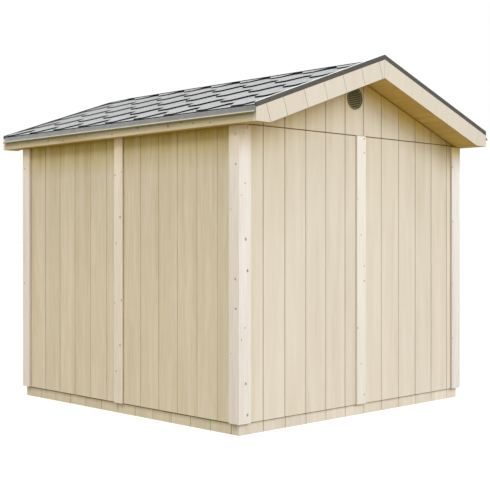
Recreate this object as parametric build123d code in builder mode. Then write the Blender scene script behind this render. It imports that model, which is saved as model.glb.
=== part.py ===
from build123d import *
import os
from math import radians, tan, cos

# Wooden garden shed with a gabled roof.
# Frame: +Z up, origin at the centre of the footprint on the ground,
# +Y along the ridge, +X across the gables.  Millimetres.

# ---------------------------------------------------------------- dimensions
BASE_H = 75            # height of the base timbers
BASE_T = 45            # thickness of the base timbers
BASE_X = 1173          # half width over the base timbers
BASE_Y = 1244          # half length over the base timbers
DECK_T = 28            # floor boards
JOIST_T = 45           # floor joist thickness

BOARD_T = 19           # cladding boards
WALL_X = 1179          # half width over the cladding
WALL_Y = 1250          # half length over the cladding
WALL_TOP = 1980        # top of the gable wall panels
TRIM_T = 18            # corner boards and cover strips
STRIP_W = 95           # cover strip width
CORNER_SIDE_W = 95     # corner board seen on the eave walls
CORNER_GABLE_W = 105   # corner seen on the gable walls (with the board edge)
GAP = 1.0              # gap between boards that share a node

PITCH = 19.5           # roof pitch, degrees
RIDGE_Z = 2503         # top of the roof boards at the ridge
ROOF_X = 1248          # half width over the fascias
ROOF_Y = 1476          # half length over the barge boards
ROOF_T = 19            # roof boards
BARGE_T = 26           # barge board thickness
BARGE_D = 134          # barge board depth, measured plumb
EAVE_Z = 1971          # underside of fascias and barge ends
FASCIA_T = 18
SOFFIT_T = 12          # gable soffit boards
SOFFIT_Z = 2379        # underside of the gable soffit at the ridge
EAVE_SOFFIT_T = 9
VERGE_W = 30           # verge trim width
VERGE_H = 36           # verge trim height, measured plumb
SHEET_T = 2            # folded sheet of the trims
COVER_T = 7            # shingle covering
DRIP_KNEE = 2043       # where the drip edge turns outwards
DRIP_LIP_X = 1271      # half width over the drip lips
DRIP_LIP_Z = 2024      # lower edge of the drip lips
DRIP_UP = 80           # run of the drip edge's upper leg

VENT_X = 60            # vent offset from the gable's centre
VENT_Z = 2244
VENT_R = 82.5
VENT_HOLE_R = 70
VENT_PROUD = 10
VENT_SCREEN_T = 2       # screen behind the slats
VENT_SLATS = 9

DOOR_W = 800           # door leaf
DOOR_GAP = 4
DOOR_BOT = 80
DOOR_TOP = 1872
DOOR_T = 37
HEAD_Z = 1876          # underside of the panel over the door

# ------------------------------------------------------------ derived values
T = tan(radians(PITCH))
C = cos(radians(PITCH))
TRIM_X = WALL_X + TRIM_T
TRIM_Y = WALL_Y + TRIM_T
IN_X = WALL_X - BOARD_T
IN_Y = WALL_Y - BOARD_T
OPEN_X = DOOR_W / 2 + DOOR_GAP


def top(a):
    """Plumb height of the roof boards' upper face at a distance a from the ridge."""
    return RIDGE_Z - T * a


UNDER = ROOF_T / C      # plumb thickness of the roof boards
COVER = COVER_T / C
LEG = SHEET_T / C
WALL_SIDE_TOP = top(WALL_X) - UNDER     # eave walls reach the roof boards

os.makedirs("parts", exist_ok=True)

# ---------------------------------------------------------------- base, floor
with BuildPart() as side_base_beams:
    with Locations((-(BASE_X - BASE_T / 2), 0, BASE_H / 2),
                   (BASE_X - BASE_T / 2, 0, BASE_H / 2)):
        Box(BASE_T, 2 * BASE_Y, BASE_H)
side_base_beams.part.label = "side_base_beams"
export_step(side_base_beams.part, "parts/side_base_beams.step")

with BuildPart() as gable_base_beams:
    with Locations((0, -(BASE_Y - BASE_T / 2), BASE_H / 2),
                   (0, BASE_Y - BASE_T / 2, BASE_H / 2)):
        Box(2 * (BASE_X - BASE_T), BASE_T, BASE_H)
gable_base_beams.part.label = "gable_base_beams"
export_step(gable_base_beams.part, "parts/gable_base_beams.step")

with BuildPart() as floor_joists:
    with GridLocations(1, 480, 1, 5):
        with Locations((0, 0, (BASE_H - DECK_T) / 2)):
            Box(2 * (BASE_X - BASE_T), JOIST_T, BASE_H - DECK_T)
floor_joists.part.label = "floor_joists"
export_step(floor_joists.part, "parts/floor_joists.step")

with BuildPart() as floor_boards:
    with Locations((0, 0, BASE_H - DECK_T / 2)):
        Box(2 * (BASE_X - BASE_T), 2 * (BASE_Y - BASE_T), DECK_T)
floor_boards.part.label = "floor_boards"
export_step(floor_boards.part, "parts/floor_boards.step")

# ---------------------------------------------------------------- eave walls
with BuildPart() as left_wall_rear_panel:
    with BuildSketch(Plane.YZ.offset(-WALL_X)):
        with Locations((-WALL_Y / 2, (BASE_H + WALL_SIDE_TOP) / 2)):
            Rectangle(WALL_Y, WALL_SIDE_TOP - BASE_H)
    extrude(amount=BOARD_T)
left_wall_rear_panel.part.label = "left_wall_rear_panel"
export_step(left_wall_rear_panel.part, "parts/left_wall_rear_panel.step")

with BuildPart() as left_wall_front_panel:
    with BuildSketch(Plane.YZ.offset(-WALL_X)):
        with Locations((WALL_Y / 2, (BASE_H + WALL_SIDE_TOP) / 2)):
            Rectangle(WALL_Y, WALL_SIDE_TOP - BASE_H)
    extrude(amount=BOARD_T)
left_wall_front_panel.part.label = "left_wall_front_panel"
export_step(left_wall_front_panel.part, "parts/left_wall_front_panel.step")

with BuildPart() as right_wall_rear_panel:
    with BuildSketch(Plane.YZ.offset(IN_X)):
        with Locations((-WALL_Y / 2, (BASE_H + WALL_SIDE_TOP) / 2)):
            Rectangle(WALL_Y, WALL_SIDE_TOP - BASE_H)
    extrude(amount=BOARD_T)
right_wall_rear_panel.part.label = "right_wall_rear_panel"
export_step(right_wall_rear_panel.part, "parts/right_wall_rear_panel.step")

with BuildPart() as right_wall_front_panel:
    with BuildSketch(Plane.YZ.offset(IN_X)):
        with Locations((WALL_Y / 2, (BASE_H + WALL_SIDE_TOP) / 2)):
            Rectangle(WALL_Y, WALL_SIDE_TOP - BASE_H)
    extrude(amount=BOARD_T)
right_wall_front_panel.part.label = "right_wall_front_panel"
export_step(right_wall_front_panel.part, "parts/right_wall_front_panel.step")

# --------------------------------------------------------------- gable walls
with BuildPart() as rear_wall_left_panel:
    with BuildSketch(Plane.XZ.offset(IN_Y)):
        with Locations((-IN_X / 2, (BASE_H + WALL_TOP) / 2)):
            Rectangle(IN_X, WALL_TOP - BASE_H)
    extrude(amount=BOARD_T)
rear_wall_left_panel.part.label = "rear_wall_left_panel"
export_step(rear_wall_left_panel.part, "parts/rear_wall_left_panel.step")

with BuildPart() as rear_wall_right_panel:
    with BuildSketch(Plane.XZ.offset(IN_Y)):
        with Locations((IN_X / 2, (BASE_H + WALL_TOP) / 2)):
            Rectangle(IN_X, WALL_TOP - BASE_H)
    extrude(amount=BOARD_T)
rear_wall_right_panel.part.label = "rear_wall_right_panel"
export_step(rear_wall_right_panel.part, "parts/rear_wall_right_panel.step")

with BuildPart() as front_wall_left_panel:
    with BuildSketch(Plane.XZ.offset(-WALL_Y)):
        with Locations((-(IN_X + OPEN_X) / 2, (BASE_H + WALL_TOP) / 2)):
            Rectangle(IN_X - OPEN_X, WALL_TOP - BASE_H)
    extrude(amount=BOARD_T)
front_wall_left_panel.part.label = "front_wall_left_panel"
export_step(front_wall_left_panel.part, "parts/front_wall_left_panel.step")

with BuildPart() as front_wall_right_panel:
    with BuildSketch(Plane.XZ.offset(-WALL_Y)):
        with Locations(((IN_X + OPEN_X) / 2, (BASE_H + WALL_TOP) / 2)):
            Rectangle(IN_X - OPEN_X, WALL_TOP - BASE_H)
    extrude(amount=BOARD_T)
front_wall_right_panel.part.label = "front_wall_right_panel"
export_step(front_wall_right_panel.part, "parts/front_wall_right_panel.step")

with BuildPart() as front_wall_door_head:
    with BuildSketch(Plane.XZ.offset(-WALL_Y)):
        with Locations((0, (HEAD_Z + WALL_TOP) / 2)):
            Rectangle(2 * OPEN_X, WALL_TOP - HEAD_Z)
    extrude(amount=BOARD_T)
front_wall_door_head.part.label = "front_wall_door_head"
export_step(front_wall_door_head.part, "parts/front_wall_door_head.step")

# Boarded triangles above the joint line, each with a round hole for its vent.
with BuildPart() as rear_gable_panel:
    with BuildSketch(Plane.XZ.offset(IN_Y)):
        with BuildLine():
            Polyline((-IN_X, WALL_TOP), (IN_X, WALL_TOP), (IN_X, top(IN_X) - UNDER),
                     (0, top(0) - UNDER), (-IN_X, top(IN_X) - UNDER), close=True)
        make_face()
        with Locations((-VENT_X, VENT_Z)):
            Circle(VENT_HOLE_R, mode=Mode.SUBTRACT)
    extrude(amount=BOARD_T)
rear_gable_panel.part.label = "rear_gable_panel"
export_step(rear_gable_panel.part, "parts/rear_gable_panel.step")

with BuildPart() as front_gable_panel:
    with BuildSketch(Plane.XZ.offset(-WALL_Y)):
        with BuildLine():
            Polyline((-IN_X, WALL_TOP), (IN_X, WALL_TOP), (IN_X, top(IN_X) - UNDER),
                     (0, top(0) - UNDER), (-IN_X, top(IN_X) - UNDER), close=True)
        make_face()
        with Locations((VENT_X, VENT_Z)):
            Circle(VENT_HOLE_R, mode=Mode.SUBTRACT)
    extrude(amount=BOARD_T)
front_gable_panel.part.label = "front_gable_panel"
export_step(front_gable_panel.part, "parts/front_gable_panel.step")

# Round grilles: a flange ring on the wall face with level slats across it,
# on a thin backing screen.
SLAT_PITCH = 2 * VENT_HOLE_R / VENT_SLATS
with BuildPart() as rear_vent:
    with BuildSketch(Plane.XZ.offset(WALL_Y)):
        with Locations((-VENT_X, VENT_Z)):
            Circle(VENT_R)
    extrude(amount=VENT_SCREEN_T)
    with BuildSketch(Plane.XZ.offset(WALL_Y + VENT_SCREEN_T)):
        with Locations((-VENT_X, VENT_Z)):
            Circle(VENT_R)
            Circle(VENT_HOLE_R - 1, mode=Mode.SUBTRACT)
    extrude(amount=VENT_PROUD - VENT_SCREEN_T)
    with BuildSketch(Plane.XZ.offset(WALL_Y + VENT_SCREEN_T)):
        with Locations((-VENT_X, VENT_Z)):
            with GridLocations(1, SLAT_PITCH, 1, VENT_SLATS):
                Rectangle(2 * VENT_R - 6, SLAT_PITCH * 0.5)
            Circle(VENT_R - 3, mode=Mode.INTERSECT)
    extrude(amount=6)
rear_vent.part.label = "rear_vent"
export_step(rear_vent.part, "parts/rear_vent.step")

with BuildPart() as front_vent:
    with BuildSketch(Plane.XZ.offset(-WALL_Y)):
        with Locations((VENT_X, VENT_Z)):
            Circle(VENT_R)
    extrude(amount=-VENT_SCREEN_T)
    with BuildSketch(Plane.XZ.offset(-WALL_Y - VENT_SCREEN_T)):
        with Locations((VENT_X, VENT_Z)):
            Circle(VENT_R)
            Circle(VENT_HOLE_R - 1, mode=Mode.SUBTRACT)
    extrude(amount=-(VENT_PROUD - VENT_SCREEN_T))
    with BuildSketch(Plane.XZ.offset(-WALL_Y - VENT_SCREEN_T)):
        with Locations((VENT_X, VENT_Z)):
            with GridLocations(1, SLAT_PITCH, 1, VENT_SLATS):
                Rectangle(2 * VENT_R - 6, SLAT_PITCH * 0.5)
            Circle(VENT_R - 3, mode=Mode.INTERSECT)
    extrude(amount=-6)
front_vent.part.label = "front_vent"
export_step(front_vent.part, "parts/front_vent.step")

# ------------------------------------------------- corner boards, cover strips
CORNER_H = EAVE_Z - BASE_H
CORNER_ZC = BASE_H + CORNER_H / 2
GABLE_PART_W = CORNER_GABLE_W - TRIM_T - GAP
SIDE_XC = WALL_X + TRIM_T / 2
SIDE_YC = TRIM_Y - CORNER_SIDE_W / 2
FACE_XC = WALL_X - GAP - GABLE_PART_W / 2
FACE_YC = WALL_Y + TRIM_T / 2

with BuildPart() as rear_left_corner_boards:
    with Locations((-SIDE_XC, -SIDE_YC, CORNER_ZC)):
        Box(TRIM_T, CORNER_SIDE_W, CORNER_H)
    with Locations((-FACE_XC, -FACE_YC, CORNER_ZC)):
        Box(GABLE_PART_W, TRIM_T, CORNER_H)
rear_left_corner_boards.part.label = "rear_left_corner_boards"
export_step(rear_left_corner_boards.part, "parts/rear_left_corner_boards.step")

with BuildPart() as rear_right_corner_boards:
    with Locations((SIDE_XC, -SIDE_YC, CORNER_ZC)):
        Box(TRIM_T, CORNER_SIDE_W, CORNER_H)
    with Locations((FACE_XC, -FACE_YC, CORNER_ZC)):
        Box(GABLE_PART_W, TRIM_T, CORNER_H)
rear_right_corner_boards.part.label = "rear_right_corner_boards"
export_step(rear_right_corner_boards.part, "parts/rear_right_corner_boards.step")

with BuildPart() as front_left_corner_boards:
    with Locations((-SIDE_XC, SIDE_YC, CORNER_ZC)):
        Box(TRIM_T, CORNER_SIDE_W, CORNER_H)
    with Locations((-FACE_XC, FACE_YC, CORNER_ZC)):
        Box(GABLE_PART_W, TRIM_T, CORNER_H)
front_left_corner_boards.part.label = "front_left_corner_boards"
export_step(front_left_corner_boards.part, "parts/front_left_corner_boards.step")

with BuildPart() as front_right_corner_boards:
    with Locations((SIDE_XC, SIDE_YC, CORNER_ZC)):
        Box(TRIM_T, CORNER_SIDE_W, CORNER_H)
    with Locations((FACE_XC, FACE_YC, CORNER_ZC)):
        Box(GABLE_PART_W, TRIM_T, CORNER_H)
front_right_corner_boards.part.label = "front_right_corner_boards"
export_step(front_right_corner_boards.part, "parts/front_right_corner_boards.step")

with BuildPart() as left_wall_cover_strip:
    with Locations((-SIDE_XC, 0, CORNER_ZC)):
        Box(TRIM_T, STRIP_W, CORNER_H)
left_wall_cover_strip.part.label = "left_wall_cover_strip"
export_step(left_wall_cover_strip.part, "parts/left_wall_cover_strip.step")

with BuildPart() as right_wall_cover_strip:
    with Locations((SIDE_XC, 0, CORNER_ZC)):
        Box(TRIM_T, STRIP_W, CORNER_H)
right_wall_cover_strip.part.label = "right_wall_cover_strip"
export_step(right_wall_cover_strip.part, "parts/right_wall_cover_strip.step")

with BuildPart() as rear_wall_cover_strip:
    with Locations((0, -FACE_YC, (BASE_H + WALL_TOP) / 2)):
        Box(STRIP_W, TRIM_T, WALL_TOP - BASE_H)
rear_wall_cover_strip.part.label = "rear_wall_cover_strip"
export_step(rear_wall_cover_strip.part, "parts/rear_wall_cover_strip.step")

# ---------------------------------------------------------------- roof boards
DECK_Y = ROOF_Y - BARGE_T
with BuildPart() as left_roof_boards:
    with BuildSketch(Plane.XZ):
        with BuildLine():
            Polyline((0, top(0)), (-ROOF_X, top(ROOF_X)),
                     (-ROOF_X, top(ROOF_X) - UNDER), (0, top(0) - UNDER), close=True)
        make_face()
    extrude(amount=DECK_Y, both=True)
left_roof_boards.part.label = "left_roof_boards"
export_step(left_roof_boards.part, "parts/left_roof_boards.step")

with BuildPart() as right_roof_boards:
    with BuildSketch(Plane.XZ):
        with BuildLine():
            Polyline((0, top(0)), (ROOF_X, top(ROOF_X)),
                     (ROOF_X, top(ROOF_X) - UNDER), (0, top(0) - UNDER), close=True)
        make_face()
    extrude(amount=DECK_Y, both=True)
right_roof_boards.part.label = "right_roof_boards"
export_step(right_roof_boards.part, "parts/right_roof_boards.step")

# ------------------------------------------- eaves: fascia, soffit, drip edge
FASCIA_IN = ROOF_X - FASCIA_T
with BuildPart() as left_eave_fascia:
    with BuildSketch(Plane.XZ):
        with BuildLine():
            Polyline((-ROOF_X, EAVE_Z), (-FASCIA_IN, EAVE_Z),
                     (-FASCIA_IN, top(FASCIA_IN) - UNDER),
                     (-ROOF_X, top(ROOF_X) - UNDER), close=True)
        make_face()
    extrude(amount=DECK_Y, both=True)
left_eave_fascia.part.label = "left_eave_fascia"
export_step(left_eave_fascia.part, "parts/left_eave_fascia.step")

with BuildPart() as right_eave_fascia:
    with BuildSketch(Plane.XZ):
        with BuildLine():
            Polyline((ROOF_X, EAVE_Z), (FASCIA_IN, EAVE_Z),
                     (FASCIA_IN, top(FASCIA_IN) - UNDER),
                     (ROOF_X, top(ROOF_X) - UNDER), close=True)
        make_face()
    extrude(amount=DECK_Y, both=True)
right_eave_fascia.part.label = "right_eave_fascia"
export_step(right_eave_fascia.part, "parts/right_eave_fascia.step")

with BuildPart() as left_eave_soffit:
    with Locations((-(FASCIA_IN + WALL_X) / 2, 0, EAVE_Z + EAVE_SOFFIT_T / 2)):
        Box(FASCIA_IN - WALL_X, 2 * DECK_Y, EAVE_SOFFIT_T)
left_eave_soffit.part.label = "left_eave_soffit"
export_step(left_eave_soffit.part, "parts/left_eave_soffit.step")

with BuildPart() as right_eave_soffit:
    with Locations(((FASCIA_IN + WALL_X) / 2, 0, EAVE_Z + EAVE_SOFFIT_T / 2)):
        Box(FASCIA_IN - WALL_X, 2 * DECK_Y, EAVE_SOFFIT_T)
right_eave_soffit.part.label = "right_eave_soffit"
export_step(right_eave_soffit.part, "parts/right_eave_soffit.step")

DRIP_X = ROOF_X + SHEET_T
DRIP_IN = ROOF_X - DRIP_UP
COVER_Y = ROOF_Y - VERGE_W
LIP_T = 2.6            # plumb thickness of the lip
with BuildPart() as left_drip_edge:
    with BuildSketch(Plane.XZ):
        with BuildLine():
            Polyline((-DRIP_X, top(DRIP_X) + LEG), (-DRIP_X, DRIP_KNEE),
                     (-DRIP_LIP_X, DRIP_LIP_Z), (-DRIP_LIP_X, DRIP_LIP_Z - LIP_T),
                     (-ROOF_X, DRIP_KNEE - LIP_T), (-ROOF_X, top(ROOF_X)),
                     (-DRIP_IN, top(DRIP_IN)), (-DRIP_IN, top(DRIP_IN) + LEG), close=True)
        make_face()
    extrude(amount=COVER_Y, both=True)
    with BuildSketch(Plane.XZ):
        with BuildLine():
            Polyline((-DRIP_X, top(DRIP_X)), (-DRIP_X, DRIP_KNEE),
                     (-DRIP_LIP_X, DRIP_LIP_Z), (-DRIP_LIP_X, DRIP_LIP_Z - LIP_T),
                     (-ROOF_X, DRIP_KNEE - LIP_T), (-ROOF_X, top(ROOF_X)), close=True)
        make_face()
    extrude(amount=ROOF_Y)     # past the rear barge boards only
left_drip_edge.part.label = "left_drip_edge"
export_step(left_drip_edge.part, "parts/left_drip_edge.step")

with BuildPart() as right_drip_edge:
    with BuildSketch(Plane.XZ):
        with BuildLine():
            Polyline((DRIP_X, top(DRIP_X) + LEG), (DRIP_X, DRIP_KNEE),
                     (DRIP_LIP_X, DRIP_LIP_Z), (DRIP_LIP_X, DRIP_LIP_Z - LIP_T),
                     (ROOF_X, DRIP_KNEE - LIP_T), (ROOF_X, top(ROOF_X)),
                     (DRIP_IN, top(DRIP_IN)), (DRIP_IN, top(DRIP_IN) + LEG), close=True)
        make_face()
    extrude(amount=COVER_Y, both=True)
    with BuildSketch(Plane.XZ):
        with BuildLine():
            Polyline((DRIP_X, top(DRIP_X)), (DRIP_X, DRIP_KNEE),
                     (DRIP_LIP_X, DRIP_LIP_Z), (DRIP_LIP_X, DRIP_LIP_Z - LIP_T),
                     (ROOF_X, DRIP_KNEE - LIP_T), (ROOF_X, top(ROOF_X)), close=True)
        make_face()
    extrude(amount=ROOF_Y)
right_drip_edge.part.label = "right_drip_edge"
export_step(right_drip_edge.part, "parts/right_drip_edge.step")

# Shingle coverings, stepped over the upper leg of the drip edges.
COVER_X = ROOF_X + 6
with BuildPart() as left_shingles:
    with BuildSketch(Plane.XZ):
        with BuildLine():
            Polyline((0, top(0)), (0, top(0) + COVER), (-COVER_X, top(COVER_X) + COVER),
                     (-COVER_X, top(COVER_X) + LEG), (-DRIP_IN, top(DRIP_IN) + LEG),
                     (-DRIP_IN, top(DRIP_IN)), close=True)
        make_face()
    extrude(amount=COVER_Y, both=True)
left_shingles.part.label = "left_shingles"
export_step(left_shingles.part, "parts/left_shingles.step")

with BuildPart() as right_shingles:
    with BuildSketch(Plane.XZ):
        with BuildLine():
            Polyline((0, top(0)), (0, top(0) + COVER), (COVER_X, top(COVER_X) + COVER),
                     (COVER_X, top(COVER_X) + LEG), (DRIP_IN, top(DRIP_IN) + LEG),
                     (DRIP_IN, top(DRIP_IN)), close=True)
        make_face()
    extrude(amount=COVER_Y, both=True)
right_shingles.part.label = "right_shingles"
export_step(right_shingles.part, "parts/right_shingles.step")

# -------------------------------------- gable overhangs: barge, soffit, verge
H = GAP / 2
FOOT = (RIDGE_Z - BARGE_D - EAVE_Z) / T      # where the barge's underside meets its level foot
with BuildPart() as rear_barge_boards:
    with BuildSketch(Plane.XZ.offset(DECK_Y)):
        with BuildLine():
            Polyline((-H, top(H)), (-ROOF_X, top(ROOF_X)), (-ROOF_X, EAVE_Z),
                     (-FOOT, EAVE_Z), (-H, top(H) - BARGE_D), close=True)
        make_face()
        with BuildLine():
            Polyline((H, top(H)), (ROOF_X, top(ROOF_X)), (ROOF_X, EAVE_Z),
                     (FOOT, EAVE_Z), (H, top(H) - BARGE_D), close=True)
        make_face()
    extrude(amount=BARGE_T)
rear_barge_boards.part.label = "rear_barge_boards"
export_step(rear_barge_boards.part, "parts/rear_barge_boards.step")

with BuildPart() as front_barge_boards:
    with BuildSketch(Plane.XZ.offset(-ROOF_Y)):
        with BuildLine():
            Polyline((-H, top(H)), (-ROOF_X, top(ROOF_X)), (-ROOF_X, EAVE_Z),
                     (-FOOT, EAVE_Z), (-H, top(H) - BARGE_D), close=True)
        make_face()
        with BuildLine():
            Polyline((H, top(H)), (ROOF_X, top(ROOF_X)), (ROOF_X, EAVE_Z),
                     (FOOT, EAVE_Z), (H, top(H) - BARGE_D), close=True)
        make_face()
    extrude(amount=BARGE_T)
front_barge_boards.part.label = "front_barge_boards"
export_step(front_barge_boards.part, "parts/front_barge_boards.step")

SOFFIT_UP = SOFFIT_T / C
SOFFIT_FOOT = (SOFFIT_Z - EAVE_Z) / T        # where the sloping soffit turns level
with BuildPart() as rear_gable_soffit:
    with BuildSketch(Plane.XZ.offset(WALL_Y)):
        with BuildLine():
            Polyline((-H, SOFFIT_Z - T * H), (-SOFFIT_FOOT, EAVE_Z), (-WALL_X, EAVE_Z),
                     (-WALL_X, SOFFIT_Z + SOFFIT_UP - T * WALL_X),
                     (-H, SOFFIT_Z + SOFFIT_UP - T * H), close=True)
        make_face()
        with BuildLine():
            Polyline((H, SOFFIT_Z - T * H), (SOFFIT_FOOT, EAVE_Z), (WALL_X, EAVE_Z),
                     (WALL_X, SOFFIT_Z + SOFFIT_UP - T * WALL_X),
                     (H, SOFFIT_Z + SOFFIT_UP - T * H), close=True)
        make_face()
    extrude(amount=DECK_Y - WALL_Y)
rear_gable_soffit.part.label = "rear_gable_soffit"
export_step(rear_gable_soffit.part, "parts/rear_gable_soffit.step")

with BuildPart() as front_gable_soffit:
    with BuildSketch(Plane.XZ.offset(-DECK_Y)):
        with BuildLine():
            Polyline((-H, SOFFIT_Z - T * H), (-SOFFIT_FOOT, EAVE_Z), (-WALL_X, EAVE_Z),
                     (-WALL_X, SOFFIT_Z + SOFFIT_UP - T * WALL_X),
                     (-H, SOFFIT_Z + SOFFIT_UP - T * H), close=True)
        make_face()
        with BuildLine():
            Polyline((H, SOFFIT_Z - T * H), (SOFFIT_FOOT, EAVE_Z), (WALL_X, EAVE_Z),
                     (WALL_X, SOFFIT_Z + SOFFIT_UP - T * WALL_X),
                     (H, SOFFIT_Z + SOFFIT_UP - T * H), close=True)
        make_face()
    extrude(amount=DECK_Y - WALL_Y)
front_gable_soffit.part.label = "front_gable_soffit"
export_step(front_gable_soffit.part, "parts/front_gable_soffit.step")

# Folded sheet caps along the verges, open underneath.
with BuildPart() as rear_verge_trims:
    with BuildSketch(Plane.XZ.offset(COVER_Y)):
        for s in (-1, 1):
            with BuildLine():
                Polyline((s * H, top(H)), (s * ROOF_X, top(ROOF_X)),
                         (s * ROOF_X, top(ROOF_X) + VERGE_H), (s * H, top(H) + VERGE_H),
                         close=True)
            make_face()
    extrude(amount=VERGE_W)
    with BuildSketch(Plane.XZ.offset(COVER_Y + SHEET_T)):
        for s in (-1, 1):
            with BuildLine():
                Polyline((s * H, top(H)), (s * ROOF_X, top(ROOF_X)),
                         (s * ROOF_X, top(ROOF_X) + VERGE_H - LEG),
                         (s * H, top(H) + VERGE_H - LEG), close=True)
            make_face()
    extrude(amount=VERGE_W - 2 * SHEET_T, mode=Mode.SUBTRACT)
rear_verge_trims.part.label = "rear_verge_trims"
export_step(rear_verge_trims.part, "parts/rear_verge_trims.step")

with BuildPart() as front_verge_trims:
    with BuildSketch(Plane.XZ.offset(-ROOF_Y)):
        for s in (-1, 1):
            with BuildLine():
                Polyline((s * H, top(H)), (s * ROOF_X, top(ROOF_X)),
                         (s * ROOF_X, top(ROOF_X) + VERGE_H), (s * H, top(H) + VERGE_H),
                         close=True)
            make_face()
    extrude(amount=VERGE_W)
    with BuildSketch(Plane.XZ.offset(-ROOF_Y + SHEET_T)):
        for s in (-1, 1):
            with BuildLine():
                Polyline((s * H, top(H)), (s * ROOF_X, top(ROOF_X)),
                         (s * ROOF_X, top(ROOF_X) + VERGE_H - LEG),
                         (s * H, top(H) + VERGE_H - LEG), close=True)
            make_face()
    extrude(amount=VERGE_W - 2 * SHEET_T, mode=Mode.SUBTRACT)
front_verge_trims.part.label = "front_verge_trims"
export_step(front_verge_trims.part, "parts/front_verge_trims.step")

# ------------------------------------------------------- door in the front wall
with BuildPart() as door_leaf:
    with Locations((0, TRIM_Y - DOOR_T / 2, (DOOR_BOT + DOOR_TOP) / 2)):
        Box(DOOR_W, DOOR_T, DOOR_TOP - DOOR_BOT)
door_leaf.part.label = "door_leaf"
export_step(door_leaf.part, "parts/door_leaf.step")

with BuildPart() as door_side_trims:
    with Locations((-(OPEN_X + STRIP_W / 2), FACE_YC, (BASE_H + HEAD_Z) / 2),
                   (OPEN_X + STRIP_W / 2, FACE_YC, (BASE_H + HEAD_Z) / 2)):
        Box(STRIP_W, TRIM_T, HEAD_Z - BASE_H)
door_side_trims.part.label = "door_side_trims"
export_step(door_side_trims.part, "parts/door_side_trims.step")

with BuildPart() as door_head_trim:
    with Locations((0, FACE_YC, (HEAD_Z + WALL_TOP) / 2)):
        Box(2 * (OPEN_X + STRIP_W), TRIM_T, WALL_TOP - HEAD_Z)
door_head_trim.part.label = "door_head_trim"
export_step(door_head_trim.part, "parts/door_head_trim.step")

# Strap hinges: a long strap on the leaf, a short plate on the side trim, a knuckle between.
HINGE_T = 3
with BuildPart() as door_hinges:
    for z in (330, 976, 1622):
        with Locations((OPEN_X - 150, TRIM_Y + HINGE_T / 2, z)):
            Box(290, HINGE_T, 36)
        with Locations((OPEN_X + 25, TRIM_Y + HINGE_T / 2, z)):
            Box(46, HINGE_T, 90)
        with Locations((OPEN_X - DOOR_GAP / 2, TRIM_Y + HINGE_T, z)):
            Cylinder(6, 90)
        with Locations((OPEN_X - DOOR_GAP / 2, TRIM_Y - 10, z)):
            Box(40, 20, 100, mode=Mode.SUBTRACT)
door_hinges.part.label = "door_hinges"
export_step(door_hinges.part, "parts/door_hinges.step")

with BuildPart() as door_handle:
    with Locations((-DOOR_W / 2 + 60, TRIM_Y + 2, 1000)):
        Box(40, 4, 190)
    with BuildSketch(Plane.XZ.offset(-TRIM_Y - 4)):
        with Locations((-DOOR_W / 2 + 60, 1040)):
            Circle(8)
    extrude(amount=-40)
    with BuildSketch(Plane.YZ.offset(-DOOR_W / 2 + 52)):
        with Locations((TRIM_Y + 44, 1040)):
            Circle(9)
    extrude(amount=120)
door_handle.part.label = "door_handle"
export_step(door_handle.part, "parts/door_handle.step")
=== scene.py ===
import bpy, bmesh, math, random
from math import radians, tan, cos, sin, floor
from mathutils import Vector, Matrix
from mathutils.geometry import tessellate_polygon


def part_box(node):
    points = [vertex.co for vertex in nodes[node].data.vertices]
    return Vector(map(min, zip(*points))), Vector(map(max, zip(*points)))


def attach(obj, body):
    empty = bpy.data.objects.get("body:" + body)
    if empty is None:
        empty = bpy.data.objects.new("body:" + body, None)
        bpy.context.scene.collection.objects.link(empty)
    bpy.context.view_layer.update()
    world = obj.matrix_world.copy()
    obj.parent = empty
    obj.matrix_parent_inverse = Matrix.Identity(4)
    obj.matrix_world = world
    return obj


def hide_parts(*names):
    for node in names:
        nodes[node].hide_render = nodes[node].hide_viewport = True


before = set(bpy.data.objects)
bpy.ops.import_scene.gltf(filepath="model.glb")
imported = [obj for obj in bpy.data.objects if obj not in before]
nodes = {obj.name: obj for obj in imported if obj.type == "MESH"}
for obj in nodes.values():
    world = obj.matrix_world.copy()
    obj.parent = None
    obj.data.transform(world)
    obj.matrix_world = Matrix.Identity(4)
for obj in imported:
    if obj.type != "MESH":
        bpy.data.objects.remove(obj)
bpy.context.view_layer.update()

rnd = random.Random(20)

# ------------------------------------------------------------------ dimensions
# Metres, in the same frame as the construction model.
BASE_H = 0.075
BASE_X, BASE_Y, BASE_T = 1.173, 1.244, 0.045
WALL_X, WALL_Y, BOARD_T = 1.179, 1.250, 0.019
IN_X, IN_Y = WALL_X - BOARD_T, WALL_Y - BOARD_T
WALL_TOP = 1.980
PITCH = radians(19.5)
T, C, S = tan(PITCH), cos(PITCH), sin(PITCH)
RIDGE_Z = 2.503
ROOF_X, ROOF_Y = 1.248, 1.476
ROOF_T = 0.019
UNDER = ROOF_T / C
BARGE_T, BARGE_D = 0.026, 0.134
DECK_Y = ROOF_Y - BARGE_T
EAVE_Z = 1.971
SOFFIT_Z, SOFFIT_T = 2.379, 0.012
VENT_X, VENT_Z, VENT_R, VENT_HOLE_R = 0.060, 2.244, 0.0825, 0.070
PITCH_B = 0.2007                      # cover width of a cladding board
GABLE_J0 = -0.965                     # first joint on the rear gable, from the left
SIDE_J0 = -1.042                      # first joint on the left wall, from the rear
SIDE_BASE_J0 = -1.170                 # first joint on the side base boards


def top(a):
    return RIDGE_Z - T * a


# ------------------------------------------------------------------- materials
def new_mat(name):
    m = bpy.data.materials.new(name)
    m.use_nodes = True
    nt = m.node_tree
    nt.nodes.clear()
    out = nt.nodes.new("ShaderNodeOutputMaterial")
    bsdf = nt.nodes.new("ShaderNodeBsdfPrincipled")
    nt.links.new(bsdf.outputs["BSDF"], out.inputs["Surface"])
    return m, nt, bsdf


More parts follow.
